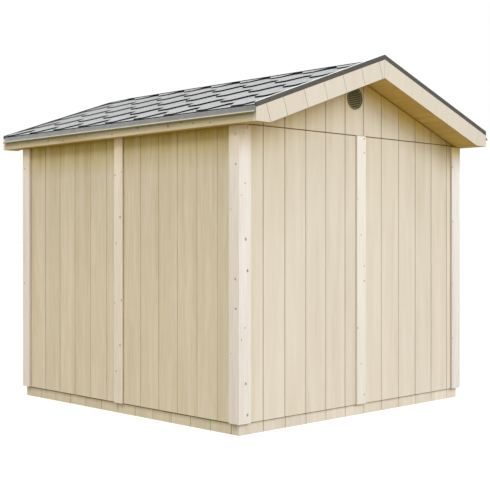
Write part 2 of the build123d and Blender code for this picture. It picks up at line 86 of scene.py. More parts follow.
def math_node(nt, op, a, b=None, clamp=False):
    n = nt.nodes.new("ShaderNodeMath")
    n.operation = op
    n.use_clamp = clamp
    for i, x in enumerate((a, b)):
        if x is None:
            continue
        if isinstance(x, (int, float)):
            n.inputs[i].default_value = x
        else:
            nt.links.new(x, n.inputs[i])
    return n.outputs[0]


def mix_col(nt, fac, a, b, blend="MIX"):
    n = nt.nodes.new("ShaderNodeMix")
    n.data_type = "RGBA"
    n.blend_type = blend
    for sock, x in ((n.inputs[0], fac), (n.inputs[6], a), (n.inputs[7], b)):
        if isinstance(x, (int, float)):
            sock.default_value = x
        elif isinstance(x, tuple):
            sock.default_value = (*x, 1.0) if len(x) == 3 else x
        else:
            nt.links.new(x, sock)
    return n.outputs[2]


def ramp(nt, fac, stops):
    n = nt.nodes.new("ShaderNodeValToRGB")
    el = n.color_ramp.elements
    while len(el) > 1:
        el.remove(el[-1])
    el[0].position, el[0].color = stops[0][0], (*stops[0][1], 1)
    for p, c in stops[1:]:
        e = el.new(p)
        e.color = (*c, 1)
    nt.links.new(fac, n.inputs[0])
    return n.outputs[0]


def srgb(r, g, b):
    def f(x):
        x /= 255.0
        return x / 12.92 if x <= 0.04045 else ((x + 0.055) / 1.055) ** 2.4
    return (f(r), f(g), f(b))


def wood(name, base, dark, light, axis, tone=0.16, knots=0.0, knot_scale=2.6,
         streak=0.35, rough=0.72, bump=0.05, painted_shading=(), ring=0.16, fibre=0.45):
    """Planed softwood with grain along one axis, a tone for each board, and knots.
    The boards carry two face attributes: tone (0 to 1) and shift (grain offset)."""
    m, nt, bsdf = new_mat(name)
    tc = nt.nodes.new("ShaderNodeTexCoord")
    at_tone = nt.nodes.new("ShaderNodeAttribute"); at_tone.attribute_name = "tone"
    at_shift = nt.nodes.new("ShaderNodeAttribute"); at_shift.attribute_name = "shift"
    # board-local coordinates: every board gets its own piece of the grain
    add = nt.nodes.new("ShaderNodeVectorMath"); add.operation = "ADD"
    nt.links.new(tc.outputs["Object"], add.inputs[0])
    sc = nt.nodes.new("ShaderNodeVectorMath"); sc.operation = "SCALE"
    sc.inputs[0].default_value = (7.3, 5.1, 3.7)
    nt.links.new(at_shift.outputs["Fac"], sc.inputs["Scale"])
    nt.links.new(sc.outputs[0], add.inputs[1])
    mp = nt.nodes.new("ShaderNodeMapping")
    k = [9.0, 9.0, 9.0]
    k["XYZ".index(axis)] = 0.55
    mp.inputs["Scale"].default_value = k
    nt.links.new(add.outputs[0], mp.inputs["Vector"])
    # broad streaks of earlywood and latewood, bent slowly along the board
    n1 = nt.nodes.new("ShaderNodeTexNoise")
    n1.inputs["Scale"].default_value = 1.6
    n1.inputs["Detail"].default_value = 5.0
    n1.inputs["Roughness"].default_value = 0.55
    n1.inputs["Distortion"].default_value = 0.35
    nt.links.new(mp.outputs[0], n1.inputs["Vector"])
    # fine fibres
    mp2 = nt.nodes.new("ShaderNodeMapping")
    k2 = [260.0, 260.0, 260.0]
    k2["XYZ".index(axis)] = 5.0
    mp2.inputs["Scale"].default_value = k2
    nt.links.new(add.outputs[0], mp2.inputs["Vector"])
    n2 = nt.nodes.new("ShaderNodeTexNoise")
    n2.inputs["Scale"].default_value = 1.0
    n2.inputs["Detail"].default_value = 3.0
    nt.links.new(mp2.outputs[0], n2.inputs["Vector"])
    # cathedral rings: a noise field sliced into bands
    rings = math_node(nt, "SINE", math_node(nt, "MULTIPLY", n1.outputs["Fac"], 46.0))
    ring01 = math_node(nt, "MULTIPLY_ADD", rings, 0.5)
    ring01.node.inputs[2].default_value = 0.5
    streaks = ramp(nt, n1.outputs["Fac"], [(0.30, dark), (0.50, base), (0.72, light)])
    col = mix_col(nt, streak, base, streaks)
    ringc = mix_col(nt, ring01, dark, light)
    col = mix_col(nt, ring, col, ringc)
    fib = ramp(nt, n2.outputs["Fac"], [(0.30, (0.82, 0.80, 0.76)), (0.62, (1.06, 1.06, 1.06))])
    col = mix_col(nt, fibre, col, fib, "MULTIPLY")
    # tone of each board
    t0 = math_node(nt, "SUBTRACT", at_tone.outputs["Fac"], 0.5)
    tv = math_node(nt, "MULTIPLY_ADD", t0, 2.0 * tone)
    tv.node.inputs[2].default_value = 1.0
    gain = nt.nodes.new("ShaderNodeVectorMath"); gain.operation = "SCALE"
    nt.links.new(col, gain.inputs[0])
    nt.links.new(tv, gain.inputs["Scale"])
    col = gain.outputs[0]
    height = n2.outputs["Fac"]
    if knots > 0:
        mp3 = nt.nodes.new("ShaderNodeMapping")
        k3 = [knot_scale * 2.2] * 3
        k3["XYZ".index(axis)] = knot_scale * 1.3
        mp3.inputs["Scale"].default_value = k3
        nt.links.new(add.outputs[0], mp3.inputs["Vector"])
        vo = nt.nodes.new("ShaderNodeTexVoronoi")
        vo.feature = "F1"
        vo.inputs["Scale"].default_value = 1.0
        vo.inputs["Randomness"].default_value = 1.0
        nt.links.new(mp3.outputs[0], vo.inputs["Vector"])
        kn = ramp(nt, vo.outputs["Distance"],
                  [(0.0, (1, 1, 1)), (knots * 0.55, (0.75, 0.75, 0.75)), (knots, (0, 0, 0))])
        halo = ramp(nt, vo.outputs["Distance"], [(0.0, (1, 1, 1)), (knots * 2.6, (0, 0, 0))])
        col = mix_col(nt, math_node(nt, "MULTIPLY", halo, 0.28), col, dark)
        col = mix_col(nt, math_node(nt, "MULTIPLY", kn, 0.75), col, srgb(104, 78, 50))
    for mode, reach, shade, power in painted_shading:
        # painted light and shade: wood drawn darker and more golden under the eaves, soffits, drip edges and under the
        # wall's bottom edge stands in for their shadows; the low, cross and far modes paint gradients of light (shade
        # values above 1 lighten)
        sx = nt.nodes.new("ShaderNodeSeparateXYZ")
        nt.links.new(tc.outputs["Object"], sx.inputs[0])
        if mode == "eave":
            depth = math_node(nt, "SUBTRACT", EAVE_Z, sx.outputs["Z"])
        elif mode == "drip":
            depth = math_node(nt, "SUBTRACT", 2.043, sx.outputs["Z"])
        elif mode == "sill":
            depth = math_node(nt, "SUBTRACT", BASE_H, sx.outputs["Z"])
        elif mode == "low":
            depth = sx.outputs["Z"]
        elif mode == "cross":
            depth = math_node(nt, "SUBTRACT", ROOF_X, sx.outputs["X"])
        else:
            ax = math_node(nt, "ABSOLUTE", sx.outputs["X"])
            line = math_node(nt, "MULTIPLY_ADD", ax, -T)
            line.node.inputs[2].default_value = SOFFIT_Z
            depth = math_node(nt, "SUBTRACT", line, sx.outputs["Z"])
        near = math_node(nt, "SUBTRACT", 1.0, math_node(nt, "DIVIDE", depth, reach), clamp=True)
        if mode == "far":
            # painted light: only under one slope, the wood right beside the soffit is drawn lighter and more golden
            half = math_node(nt, "MULTIPLY_ADD", sx.outputs["X"], 3.0)
            half.node.inputs[2].default_value = 0.5
            half.node.use_clamp = True
            near = math_node(nt, "MULTIPLY", near, half)
            end = math_node(nt, "MULTIPLY_ADD", sx.outputs["X"], -3.0)
            end.node.inputs[2].default_value = 3.3
            end.node.use_clamp = True
            near = math_node(nt, "MULTIPLY", near, end)
        # ragged lower limit, different on each board
        mp4 = nt.nodes.new("ShaderNodeMapping")
        mp4.inputs["Scale"].default_value = (14.0, 14.0, 2.0)
        nt.links.new(add.outputs[0], mp4.inputs["Vector"])
        n4 = nt.nodes.new("ShaderNodeTexNoise")
        n4.inputs["Scale"].default_value = 1.0
        n4.inputs["Detail"].default_value = 3.0
        nt.links.new(mp4.outputs[0], n4.inputs["Vector"])
        rag = math_node(nt, "MULTIPLY_ADD", n4.outputs["Fac"], 1.1)
        rag.node.inputs[2].default_value = 0.45
        fac = math_node(nt, "MULTIPLY", math_node(nt, "POWER", near, power), rag, clamp=True)
        if mode in ("low", "cross"):
            fac = near
        shaded = mix_col(nt, 1.0, col, shade, "MULTIPLY")
        col = mix_col(nt, fac, col, shaded)
    nt.links.new(col, bsdf.inputs["Base Color"])
    bsdf.inputs["Roughness"].default_value = rough
    bsdf.inputs["Specular IOR Level"].default_value = 0.22
    bp = nt.nodes.new("ShaderNodeBump")
    bp.inputs["Strength"].default_value = bump
    bp.inputs["Distance"].default_value = 0.002
    nt.links.new(height, bp.inputs["Height"])
    nt.links.new(bp.outputs[0], bsdf.inputs["Normal"])
    return m


# WALL_S and WALL_G are one timber in two copies: the gable copy is drawn a little paler and bluer, painted to match the
# gable's brighter, cooler light.
WALL = dict(base=srgb(225, 213, 189), dark=srgb(211, 195, 163), light=srgb(235, 226, 208))
TRIM = dict(base=srgb(240, 232, 221), dark=srgb(228, 214, 198), light=srgb(246, 240, 232))
BARGE = dict(base=srgb(222, 212, 194), dark=srgb(209, 196, 171), light=srgb(231, 222, 207))
WALL_S = dict(base=srgb(226, 213, 185), dark=srgb(212, 195, 160), light=srgb(236, 226, 205))
WALL_G = dict(base=srgb(226, 215, 195), dark=srgb(210, 196, 168), light=srgb(234, 226, 211))
SOFF = dict(base=srgb(222, 189, 107), dark=srgb(198, 161, 82), light=srgb(233, 205, 131))
FASC = dict(base=srgb(209, 196, 160), dark=srgb(180, 162, 118), light=srgb(222, 211, 182))

# Painted shade on the wall boards: golden olive bands under the eaves and gable soffits and broad darker gradients
# below them; painted light towards the bottom and beside the soffit under one slope, and a painted gradient across each
# gable, darker towards +X.
M_WALL_SIDE = wood("side_wall_boards_mat", axis="Z", tone=0.03, streak=0.55, knots=0.018, knot_scale=1.1,
                   painted_shading=(("eave", 0.28, (0.645, 0.54, 0.10), 1.35), ("eave", 1.05, (0.853, 0.853, 0.855), 1.0), ("low", 1.1, (1.04, 1.04, 1.045), 1.0)), **WALL_S)
M_WALL_GABLE = wood("gable_wall_boards_mat", axis="Z", tone=0.03, streak=0.45, ring=0.06, fibre=0.20, knots=0.018, knot_scale=1.1,
                    painted_shading=(("gable", 0.30, (0.84, 0.76, 0.49), 1.3), ("gable", 0.90, (0.88, 0.865, 0.82), 1.0), ("far", 0.135, (1.55, 1.45, 0.84), 1.0),
                             ("low", 1.3, (1.075, 1.075, 1.085), 1.0), ("cross", 2.5, (0.94, 0.94, 0.94), 1.0)), **WALL_G)
# The trim boards come as copies for each place, each drawn a little lighter, greyer or warmer to match its light, and
# most with painted shade under the eave; the far gable corner's top is painted lighter and more golden instead.
M_TRIM_Z = wood("trim_boards_mat", axis="Z", tone=0.02, streak=0.5, painted_shading=(("eave", 0.24, (0.78, 0.70, 0.46), 1.4),), **TRIM)
TRIM_G = dict(base=srgb(241, 234, 225), dark=srgb(229, 216, 202), light=srgb(247, 242, 236))
M_TRIM_C = wood("gable_corner_mat", axis="Z", tone=0.02, streak=0.5, painted_shading=(("eave", 0.24, (0.84, 0.76, 0.50), 1.4),), **TRIM_G)
M_TRIM_G = wood("gable_strip_mat", axis="Z", tone=0.02, streak=0.4, ring=0.10, fibre=0.35, base=srgb(238, 231, 218), dark=srgb(228, 216, 200), light=srgb(244, 238, 229))
M_TRIM_S = wood("side_strip_mat", axis="Z", tone=0.02, streak=0.5, painted_shading=(("eave", 0.24, (0.78, 0.70, 0.46), 1.4),),
                base=srgb(243, 232, 215), dark=srgb(231, 215, 192), light=srgb(248, 240, 227))
M_TRIM_R = wood("far_gable_corner_mat", axis="Z", tone=0.02, streak=0.5, painted_shading=(("eave", 0.14, (1.22, 1.08, 0.42), 1.3),),
                base=srgb(233, 229, 221), dark=srgb(222, 214, 201), light=srgb(240, 237, 231))
M_TRIM_F = wood("far_side_corner_mat", axis="Z", tone=0.02, streak=0.5, painted_shading=(("eave", 0.24, (0.78, 0.70, 0.46), 1.4),),
                base=srgb(245, 236, 228), dark=srgb(233, 219, 205), light=srgb(250, 244, 238))
M_TRIM_X = wood("trim_boards_level_mat", axis="X", tone=0.02, streak=0.5, **TRIM)
# painted shade: the base boards' tops are drawn darker and browner just under the wall's bottom edge; the side copy
# uses the side wall's colours and a deeper band.
M_BASE = wood("base_boards_mat", axis="Z", tone=0.04, streak=0.5, painted_shading=(("sill", 0.020, (0.66, 0.62, 0.52), 1.3),),
              base=srgb(231, 220, 201), dark=srgb(217, 202, 176), light=srgb(239, 230, 215))
M_BASE_SIDE = wood("side_base_boards_mat", axis="Z", tone=0.05, streak=0.6, painted_shading=(("sill", 0.036, (0.56, 0.53, 0.40), 1.3),), **WALL_S)
# painted light: the barge boards are drawn darker towards +X, a gradient of light across the gable.
M_BARGE = wood("barge_boards_mat", axis="Z", tone=0.015, streak=0.20, ring=0.03, fibre=0.10, painted_shading=(("cross", 2.5, (0.865, 0.87, 0.865), 1.0),), **BARGE)
# painted shade: the soffit boards are the wall timber in a darker, strongly golden copy (SOFF), standing in for the
# shade under the overhang, and are drawn darker towards +X.
M_SOFFIT = wood("soffit_boards_mat", axis="Y", tone=0.06, streak=0.6, knots=0.03, knot_scale=1.6, painted_shading=(("cross", 1.3, (0.92, 0.965, 0.90), 1.0),), **SOFF)
# painted shade: the fascia's top is drawn darker and olive, standing in for the shadow of the drip edge above it.
M_FASCIA = wood("fascia_mat", axis="Y", tone=0.03, streak=0.7, knots=0.030, knot_scale=2.2,
                painted_shading=(("drip", 0.040, (0.62, 0.60, 0.34), 1.3),), **FASC)
M_ROUGH_X = wood("floor_timber_mat", axis="X", tone=0.06, streak=0.6, knots=0.04, knot_scale=1.6, **FASC)
M_ROUGH_Y = wood("roof_timber_mat", axis="Y", tone=0.06, streak=0.6, knots=0.04, knot_scale=1.6, **FASC)
M_RETURN = wood("soffit_return_mat", axis="X", tone=0.03, streak=0.5, base=srgb(242, 216, 160), dark=srgb(226, 194, 132), light=srgb(247, 227, 180))
# painted shadow: the colour of the thin strip drawn along the soffit line on the gable walls.
M_SOFFIT_SHADOW_LINE = wood("soffit_shadow_line_mat", axis="X", tone=0.03, streak=0.5, base=srgb(190, 157, 90), dark=srgb(170, 136, 70), light=srgb(202, 170, 104))
# painted shade: the faces deep in the board joints, behind the base boards' top and behind the level joint are drawn
# dark brown, deepening the shade there.
GROOVE = dict(base=srgb(136, 108, 68), dark=srgb(106, 80, 46), light=srgb(156, 126, 82))
M_GROOVE = wood("groove_mat", axis="Z", tone=0.05, streak=0.5, **GROOVE)
KNOT = dict(base=srgb(182, 165, 143), dark=srgb(156, 138, 115), light=srgb(200, 184, 162))
# painted shade: the rebate faces behind the strips' edges and the boxes over the corner boards are drawn darker than
# the strips, standing in for the shade in these gaps.
M_REBATE = wood("strip_rebate_mat", axis="Z", tone=0.05, streak=0.5, base=srgb(210, 185, 142), dark=srgb(190, 164, 120), light=srgb(220, 198, 158))
M_REBATE_C = wood("corner_rebate_mat", axis="Z", tone=0.05, streak=0.5, base=srgb(230, 214, 186), dark=srgb(216, 196, 162), light=srgb(237, 224, 200))
M_KNOT = wood("knot_mat", axis="Z", tone=0.2, streak=0.8, **KNOT)
M_KNOT_D = wood("dark_knot_mat", axis="Z", tone=0.2, streak=0.8, base=srgb(124, 102, 70), dark=srgb(98, 78, 48), light=srgb(146, 124, 90))


def shingle_mat():
    m, nt, bsdf = new_mat("shingle_face_mat")
    tc = nt.nodes.new("ShaderNodeTexCoord")
    at = nt.nodes.new("ShaderNodeAttribute"); at.attribute_name = "tone"
    gr = nt.nodes.new("ShaderNodeTexNoise")
    gr.inputs["Scale"].default_value = 420.0
    gr.inputs["Detail"].default_value = 2.0
    nt.links.new(tc.outputs["Object"], gr.inputs["Vector"])
    pa = nt.nodes.new("ShaderNodeTexNoise")
    pa.inputs["Scale"].default_value = 9.0
    pa.inputs["Detail"].default_value = 4.0
    nt.links.new(tc.outputs["Object"], pa.inputs["Vector"])
    c1 = ramp(nt, gr.outputs["Fac"], [(0.32, srgb(143, 145, 145)), (0.50, srgb(186, 188, 188)), (0.70, srgb(216, 216, 216))])
    c2 = ramp(nt, pa.outputs["Fac"], [(0.30, (0.95, 0.955, 0.96)), (0.70, (1.03, 1.025, 1.025))])
    col = mix_col(nt, 1.0, c1, c2, "MULTIPLY")
    warm = ramp(nt, at.outputs["Fac"], [(0.0, (0.93, 0.965, 0.96)), (0.5, (1.0, 1.0, 1.0)), (1.0, (1.05, 1.02, 1.04))])
    col = mix_col(nt, 1.0, col, warm, "MULTIPLY")
    nt.links.new(col, bsdf.inputs["Base Color"])
    bsdf.inputs["Roughness"].default_value = 0.92
    bsdf.inputs["Specular IOR Level"].default_value = 0.12
    bp = nt.nodes.new("ShaderNodeBump")
    bp.inputs["Strength"].default_value = 0.35
    bp.inputs["Distance"].default_value = 0.0015
    nt.links.new(gr.outputs["Fac"], bp.inputs["Height"])
    nt.links.new(bp.outputs[0], bsdf.inputs["Normal"])
    return m


def edge_mat():
    m, nt, bsdf = new_mat("shingle_edge_mat")
    tc = nt.nodes.new("ShaderNodeTexCoord")
    gr = nt.nodes.new("ShaderNodeTexNoise")
    gr.inputs["Scale"].default_value = 300.0
    nt.links.new(tc.outputs["Object"], gr.inputs["Vector"])
    # The edges and undersides are drawn near black: partly the black cut edge of bitumen, partly painted shade for the
    # shadow beneath each tab.
    c = ramp(nt, gr.outputs["Fac"], [(0.3, srgb(20, 22, 23)), (0.7, srgb(48, 50, 51))])
    # painted light: the dark fades to grey towards the far verge, above the eave row and below the ridge row.
    sp = nt.nodes.new("ShaderNodeSeparateXYZ")
    nt.links.new(tc.outputs["Object"], sp.inputs[0])
    up = math_node(nt, "MULTIPLY_ADD", sp.outputs["Z"], 30.0)
    up.node.inputs[2].default_value = -63.0
    up.node.use_clamp = True
    far = math_node(nt, "MULTIPLY_ADD", sp.outputs["Y"], 0.6)
    far.node.inputs[2].default_value = 0.05
    far.node.use_clamp = True
    fade = math_node(nt, "MULTIPLY", math_node(nt, "MULTIPLY", up, far), math_node(nt, "LESS_THAN", sp.outputs["Z"], 2.41))
    c = mix_col(nt, fade, c, srgb(122, 125, 124))
    nt.links.new(c, bsdf.inputs["Base Color"])
    bsdf.inputs["Roughness"].default_value = 0.9
    bsdf.inputs["Specular IOR Level"].default_value = 0.1
    return m


def metal(name, a, b, rough, metallic=0.0, scale=60.0, spec=0.4, foot=None):
    m, nt, bsdf = new_mat(name)
    tc = nt.nodes.new("ShaderNodeTexCoord")
    n = nt.nodes.new("ShaderNodeTexNoise")
    n.inputs["Scale"].default_value = scale
    n.inputs["Detail"].default_value = 4.0
    nt.links.new(tc.outputs["Object"], n.inputs["Vector"])
    c = ramp(nt, n.outputs["Fac"], [(0.3, a), (0.7, b)])
    if foot:
        # painted shadow: below a given height the sheet is drawn dark olive, standing in for the shadow under the hem;
        # above it the colour is drawn lighter towards +Y, a painted gradient of light
        sp = nt.nodes.new("ShaderNodeSeparateXYZ")
        nt.links.new(tc.outputs["Object"], sp.inputs[0])
        along = math_node(nt, "MULTIPLY_ADD", sp.outputs["Y"], 0.112)
        along.node.inputs[2].default_value = 1.075
        gain = nt.nodes.new("ShaderNodeVectorMath"); gain.operation = "SCALE"
        nt.links.new(c, gain.inputs[0])
        nt.links.new(along, gain.inputs["Scale"])
        c = mix_col(nt, math_node(nt, "LESS_THAN", sp.outputs["Z"], foot[0]), gain.outputs[0], foot[1])
    nt.links.new(c, bsdf.inputs["Base Color"])
    r = math_node(nt, "MULTIPLY_ADD", n.outputs["Fac"], 0.15)
    r.node.inputs[2].default_value = rough - 0.07
    nt.links.new(r, bsdf.inputs["Roughness"])
    bsdf.inputs["Metallic"].default_value = metallic
    bsdf.inputs["Specular IOR Level"].default_value = spec
    return m


M_SHINGLE = shingle_mat()
M_EDGE = edge_mat()
M_SEAM = metal("ridge_seam_mat", srgb(7, 7, 8), srgb(14, 14, 15), 0.9, 0.0, 60.0, 0.0)
# painted shade along the drip edge's lower lip and a painted gradient of light along its length.
M_DRIP = metal("drip_sheet_mat", srgb(135, 138, 139), srgb(149, 151, 152), 0.45, 0.0, 18.0, 0.4, foot=(2.0262, srgb(120, 114, 74)))
# painted highlight: the drip edges' rolled hems are drawn pale, standing in for light caught along their lower edge.
M_HEM = metal("drip_hem_mat", srgb(212, 211, 180), srgb(225, 224, 196), 0.4, 0.0, 40.0, 0.4)
M_VERGE = metal("verge_sheet_mat", srgb(63, 60, 50), srgb(79, 76, 64), 0.30, 0.0, 40.0, 0.3)
# painted reflection: the verge lip is drawn near white, standing in for the bright sky it reflects at a grazing angle.
M_LIP = metal("verge_lip_mat", srgb(250, 251, 249), srgb(254, 254, 252), 0.4, 0.0, 40.0, 0.4)
M_VENT = metal("vent_slat_mat", srgb(124, 118, 84), srgb(140, 134, 97), 0.55, 0.0, 60.0, 0.35)
M_VENT_IN = metal("vent_screen_mat", srgb(72, 67, 48), srgb(90, 84, 62), 0.8, 0.0, 500.0, 0.2)
M_BLACK = metal("door_hardware_mat", srgb(30, 30, 31), srgb(44, 44, 45), 0.45, 0.0, 80.0, 0.45)


# ------------------------------------------------------------------ mesh tools
class Builder:
    """Collects faces with a material, a tone and a grain shift for each, then makes one object."""

    def __init__(self):
        self.v, self.f, self.mi, self.tone, self.shift = [], [], [], [], []

    def add(self, verts, faces, mi=0, tone=0.5, shift=0.0):
        o = len(self.v)
        self.v += [tuple(p) for p in verts]
        for i, fc in enumerate(faces):
            self.f.append(tuple(o + j for j in fc))
            self.mi.append(mi[i] if isinstance(mi, (list, tuple)) else mi)
            self.tone.append(tone)
            self.shift.append(shift)

    def prism(self, poly, place, depth, mi=0, tone=0.5, shift=0.0, holes=(), side_mi=None):
        """A flat polygon (list of 2-D points, anticlockwise seen from outside) given depth.
        place(u, v, w) turns the outline and the depth (w, 0 at the outer face) into a point."""
        loops = [list(poly)] + [list(h) for h in holes]
        flat = [p for lp in loops for p in lp]
        n = len(flat)
        if holes:
            tris = tessellate_polygon([[Vector((p[0], p[1], 0)) for p in lp] for lp in loops])
            cap = []
            for t in tris:
                a, b, c = (flat[i] for i in t)
                area = (b[0] - a[0]) * (c[1] - a[1]) - (b[1] - a[1]) * (c[0] - a[0])
                cap.append(tuple(t) if area > 0 else tuple(reversed(t)))
        else:
            cap = [tuple(range(len(poly)))]
        verts = [place(p[0], p[1], 0.0) for p in flat] + [place(p[0], p[1], depth) for p in flat]
        faces = [tuple(c) for c in cap] + [tuple(n + i for i in reversed(c)) for c in cap]
        kinds = [mi] * len(faces)
        o = 0
        for lp in loops:
            m = len(lp)
            for i in range(m):
                a, b = o + i, o + (i + 1) % m
                faces.append((b, a, n + a, n + b))
                kinds.append(mi if side_mi is None else side_mi)
            o += m
        self.add(verts, faces, kinds, tone, shift)

    def make(self, name, mats, merge=0.0):
        me = bpy.data.meshes.new(name)
        me.from_pydata(self.v, [], self.f)
        for m in mats:
            me.materials.append(m)
        me.polygons.foreach_set("material_index", self.mi)
        for nm, data in (("tone", self.tone), ("shift", self.shift)):
            a = me.attributes.new(nm, "FLOAT", "FACE")
            a.data.foreach_set("value", data)
        bm = bmesh.new()
        bm.from_mesh(me)
        if merge:
            bmesh.ops.remove_doubles(bm, verts=bm.verts, dist=merge)
        bmesh.ops.recalc_face_normals(bm, faces=bm.faces)
        bm.to_mesh(me)
        bm.free()
        me.update()
        ob = bpy.data.objects.new(name, me)
        bpy.context.scene.collection.objects.link(ob)
        return ob


def settle(ob, slot, *replaced):
    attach(ob, "root")
    if replaced:
        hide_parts(*replaced)
    return ob


V_HALF, V_DEPTH, GAP_HALF, GAP_DEPTH = 0.0042, 0.0032, 0.0014, 0.0110
LEVEL = 0.0028                        # half of the level joint under the gable triangle


def even_gap(u):
    return GAP_HALF


def side_gap(u):
    """Half width of a joint in the eave walls: tight near one corner, more open towards the other."""
    k = ((-1.05, 0.40), (-0.85, 0.55), (-0.65, 0.80), (-0.45, 0.90), (-0.25, 1.05), (0.40, 1.00), (0.55, 1.50), (1.10, 1.90))
    if u <= k[0][0]:
        return GAP_HALF * k[0][1]
    for (a, fa), (c, fc) in zip(k, k[1:]):
        if u <= c:
            return GAP_HALF * (fa + (fc - fa) * (u - a) / (c - a))
    return GAP_HALF * k[-1][1]


def gable_gap(u):
    """Half width of a joint in the gable walls."""
    if -0.60 < u < -0.30:
        return GAP_HALF * 0.75
    return GAP_HALF * (1.45 if u > 0.5 else 1.0)


def base_gap(u):
    return GAP_HALF * (1.7 if u > 0.0 else 1.3)


def board_section(u0, u1, left, right, t, vee=V_HALF, gap=even_gap):
    """Section of one tongue-and-groove board, outer face at w = 0 and depth inwards:
    chamfered where it meets a neighbour, with half of the open joint."""
    pts = []
    if left:
        pts += [(u0, GAP_DEPTH), (u0 + gap(u0), GAP_DEPTH), (u0 + gap(u0), V_DEPTH), (u0 + vee, 0.0)]
    else:
        pts += [(u0, 0.0)]
    if right:
        pts += [(u1 - vee, 0.0), (u1 - gap(u1), V_DEPTH), (u1 - gap(u1), GAP_DEPTH), (u1, GAP_DEPTH)]
    else:
        pts += [(u1, 0.0)]
    pts += [(u1, t), (u0, t)]
    return pts


def boards(bld, joints, u_lo, u_hi, z_lo, z_hi, place, t=BOARD_T, seed=0, mi=0, vee=V_HALF, gap=even_gap):
    """Upright boards between u_lo and u_hi with their joints at the given places."""
    cuts = [u_lo] + [j for j in joints if u_lo + 0.004 < j < u_hi - 0.004] + [u_hi]
    for i in range(len(cuts) - 1):
        u0, u1 = cuts[i], cuts[i + 1]
        key = round((u0 + u1) * 500) + seed * 977
        r = random.Random(key)
        sec = board_section(u0, u1, i > 0, i < len(cuts) - 2, t, vee, gap)
        n = len(sec)
        lo = [place(u, z_lo, w) for u, w in sec]
        hi = [place(u, z_hi, w) for u, w in sec]
        faces = [tuple(range(n)), tuple(range(2 * n - 1, n - 1, -1))]
        faces += [(k, n + k, n + (k + 1) % n, (k + 1) % n) for k in range(n)]
        kinds = [mi, mi]
        for k in range(n):
            (ua, wa), (uc, wc) = sec[k], sec[(k + 1) % n]
            deep = min(wa, wc) > V_DEPTH - 1e-6 and max(wa, wc) < GAP_DEPTH + 1e-6
            kinds.append(1 if deep else mi)
        bld.add(lo + hi, faces, kinds, r.random(), r.random())


def series(j0, lo, hi, step=PITCH_B):
    k0 = math.ceil((lo - j0) / step)
    out = []
    while j0 + k0 * step < hi:
        out.append(j0 + k0 * step)
        k0 += 1
    return out


# placers: (u along the wall, z, depth w from the outer face)
def left_face(x=WALL_X):
    return lambda u, z, w: (-(x - w), u, z)


def right_face(x=WALL_X):
    return lambda u, z, w: (x - w, -u, z)          # turned half round, so u runs the other way


def rear_face(y=WALL_Y):
    return lambda u, z, w: (u, -(y - w), z)


def front_face(y=WALL_Y):
    return lambda u, z, w: (-u, y - w, z)


# ----------------------------------------------------------------------- walls
SIDE_TOP = top(WALL_X) - UNDER
side_j = series(SIDE_J0, -WALL_Y, WALL_Y)
gable_j = series(GABLE_J0, -IN_X, IN_X)

for name, lo, hi, place, seed in (
        ("left_wall_rear_panel", -WALL_Y, 0.0, left_face(), 1),
        ("left_wall_front_panel", 0.0, WALL_Y, left_face(), 1),
        ("right_wall_front_panel", -WALL_Y, 0.0, right_face(), 2),
        ("right_wall_rear_panel", 0.0, WALL_Y, right_face(), 2)):
    b = Builder()
    boards(b, side_j, lo, hi, BASE_H, SIDE_TOP, place, seed=seed, gap=side_gap)
    settle(b.make(name + "_boards", [M_WALL_SIDE, M_GROOVE]), "wall_boards", name)

for name, lo, hi, place, seed in (
        ("rear_wall_left_panel", -IN_X, 0.0, rear_face(), 3),
        ("rear_wall_right_panel", 0.0, IN_X, rear_face(), 3)):
    b = Builder()
    boards(b, gable_j, lo, hi, BASE_H, WALL_TOP - LEVEL, place, seed=seed, gap=gable_gap)
    settle(b.make(name + "_boards", [M_WALL_GABLE, M_GROOVE]), "wall_boards", name)

OPEN_X = 0.404
HEAD_Z = 1.876
door_j = [-0.4 + 0.2 * k for k in range(-3, 8)]
for name, lo, hi, z0, z1 in (
        ("front_wall_right_panel", -IN_X, -OPEN_X, BASE_H, WALL_TOP - LEVEL),
        ("front_wall_left_panel", OPEN_X, IN_X, BASE_H, WALL_TOP - LEVEL),
        ("front_wall_door_head", -OPEN_X, OPEN_X, HEAD_Z, WALL_TOP - LEVEL)):
    b = Builder()
    boards(b, door_j, lo, hi, z0, z1, front_face(), seed=4)
    settle(b.make(name + "_boards", [M_WALL_GABLE, M_GROOVE]), "wall_boards", name)


# Gable triangles: each board is cut to the roof slope and chamfered beside its joints.
def circle(cx, cz, r, n=48):
    return [(cx + r * cos(2 * math.pi * i / n), cz + r * sin(2 * math.pi * i / n)) for i in range(n)]


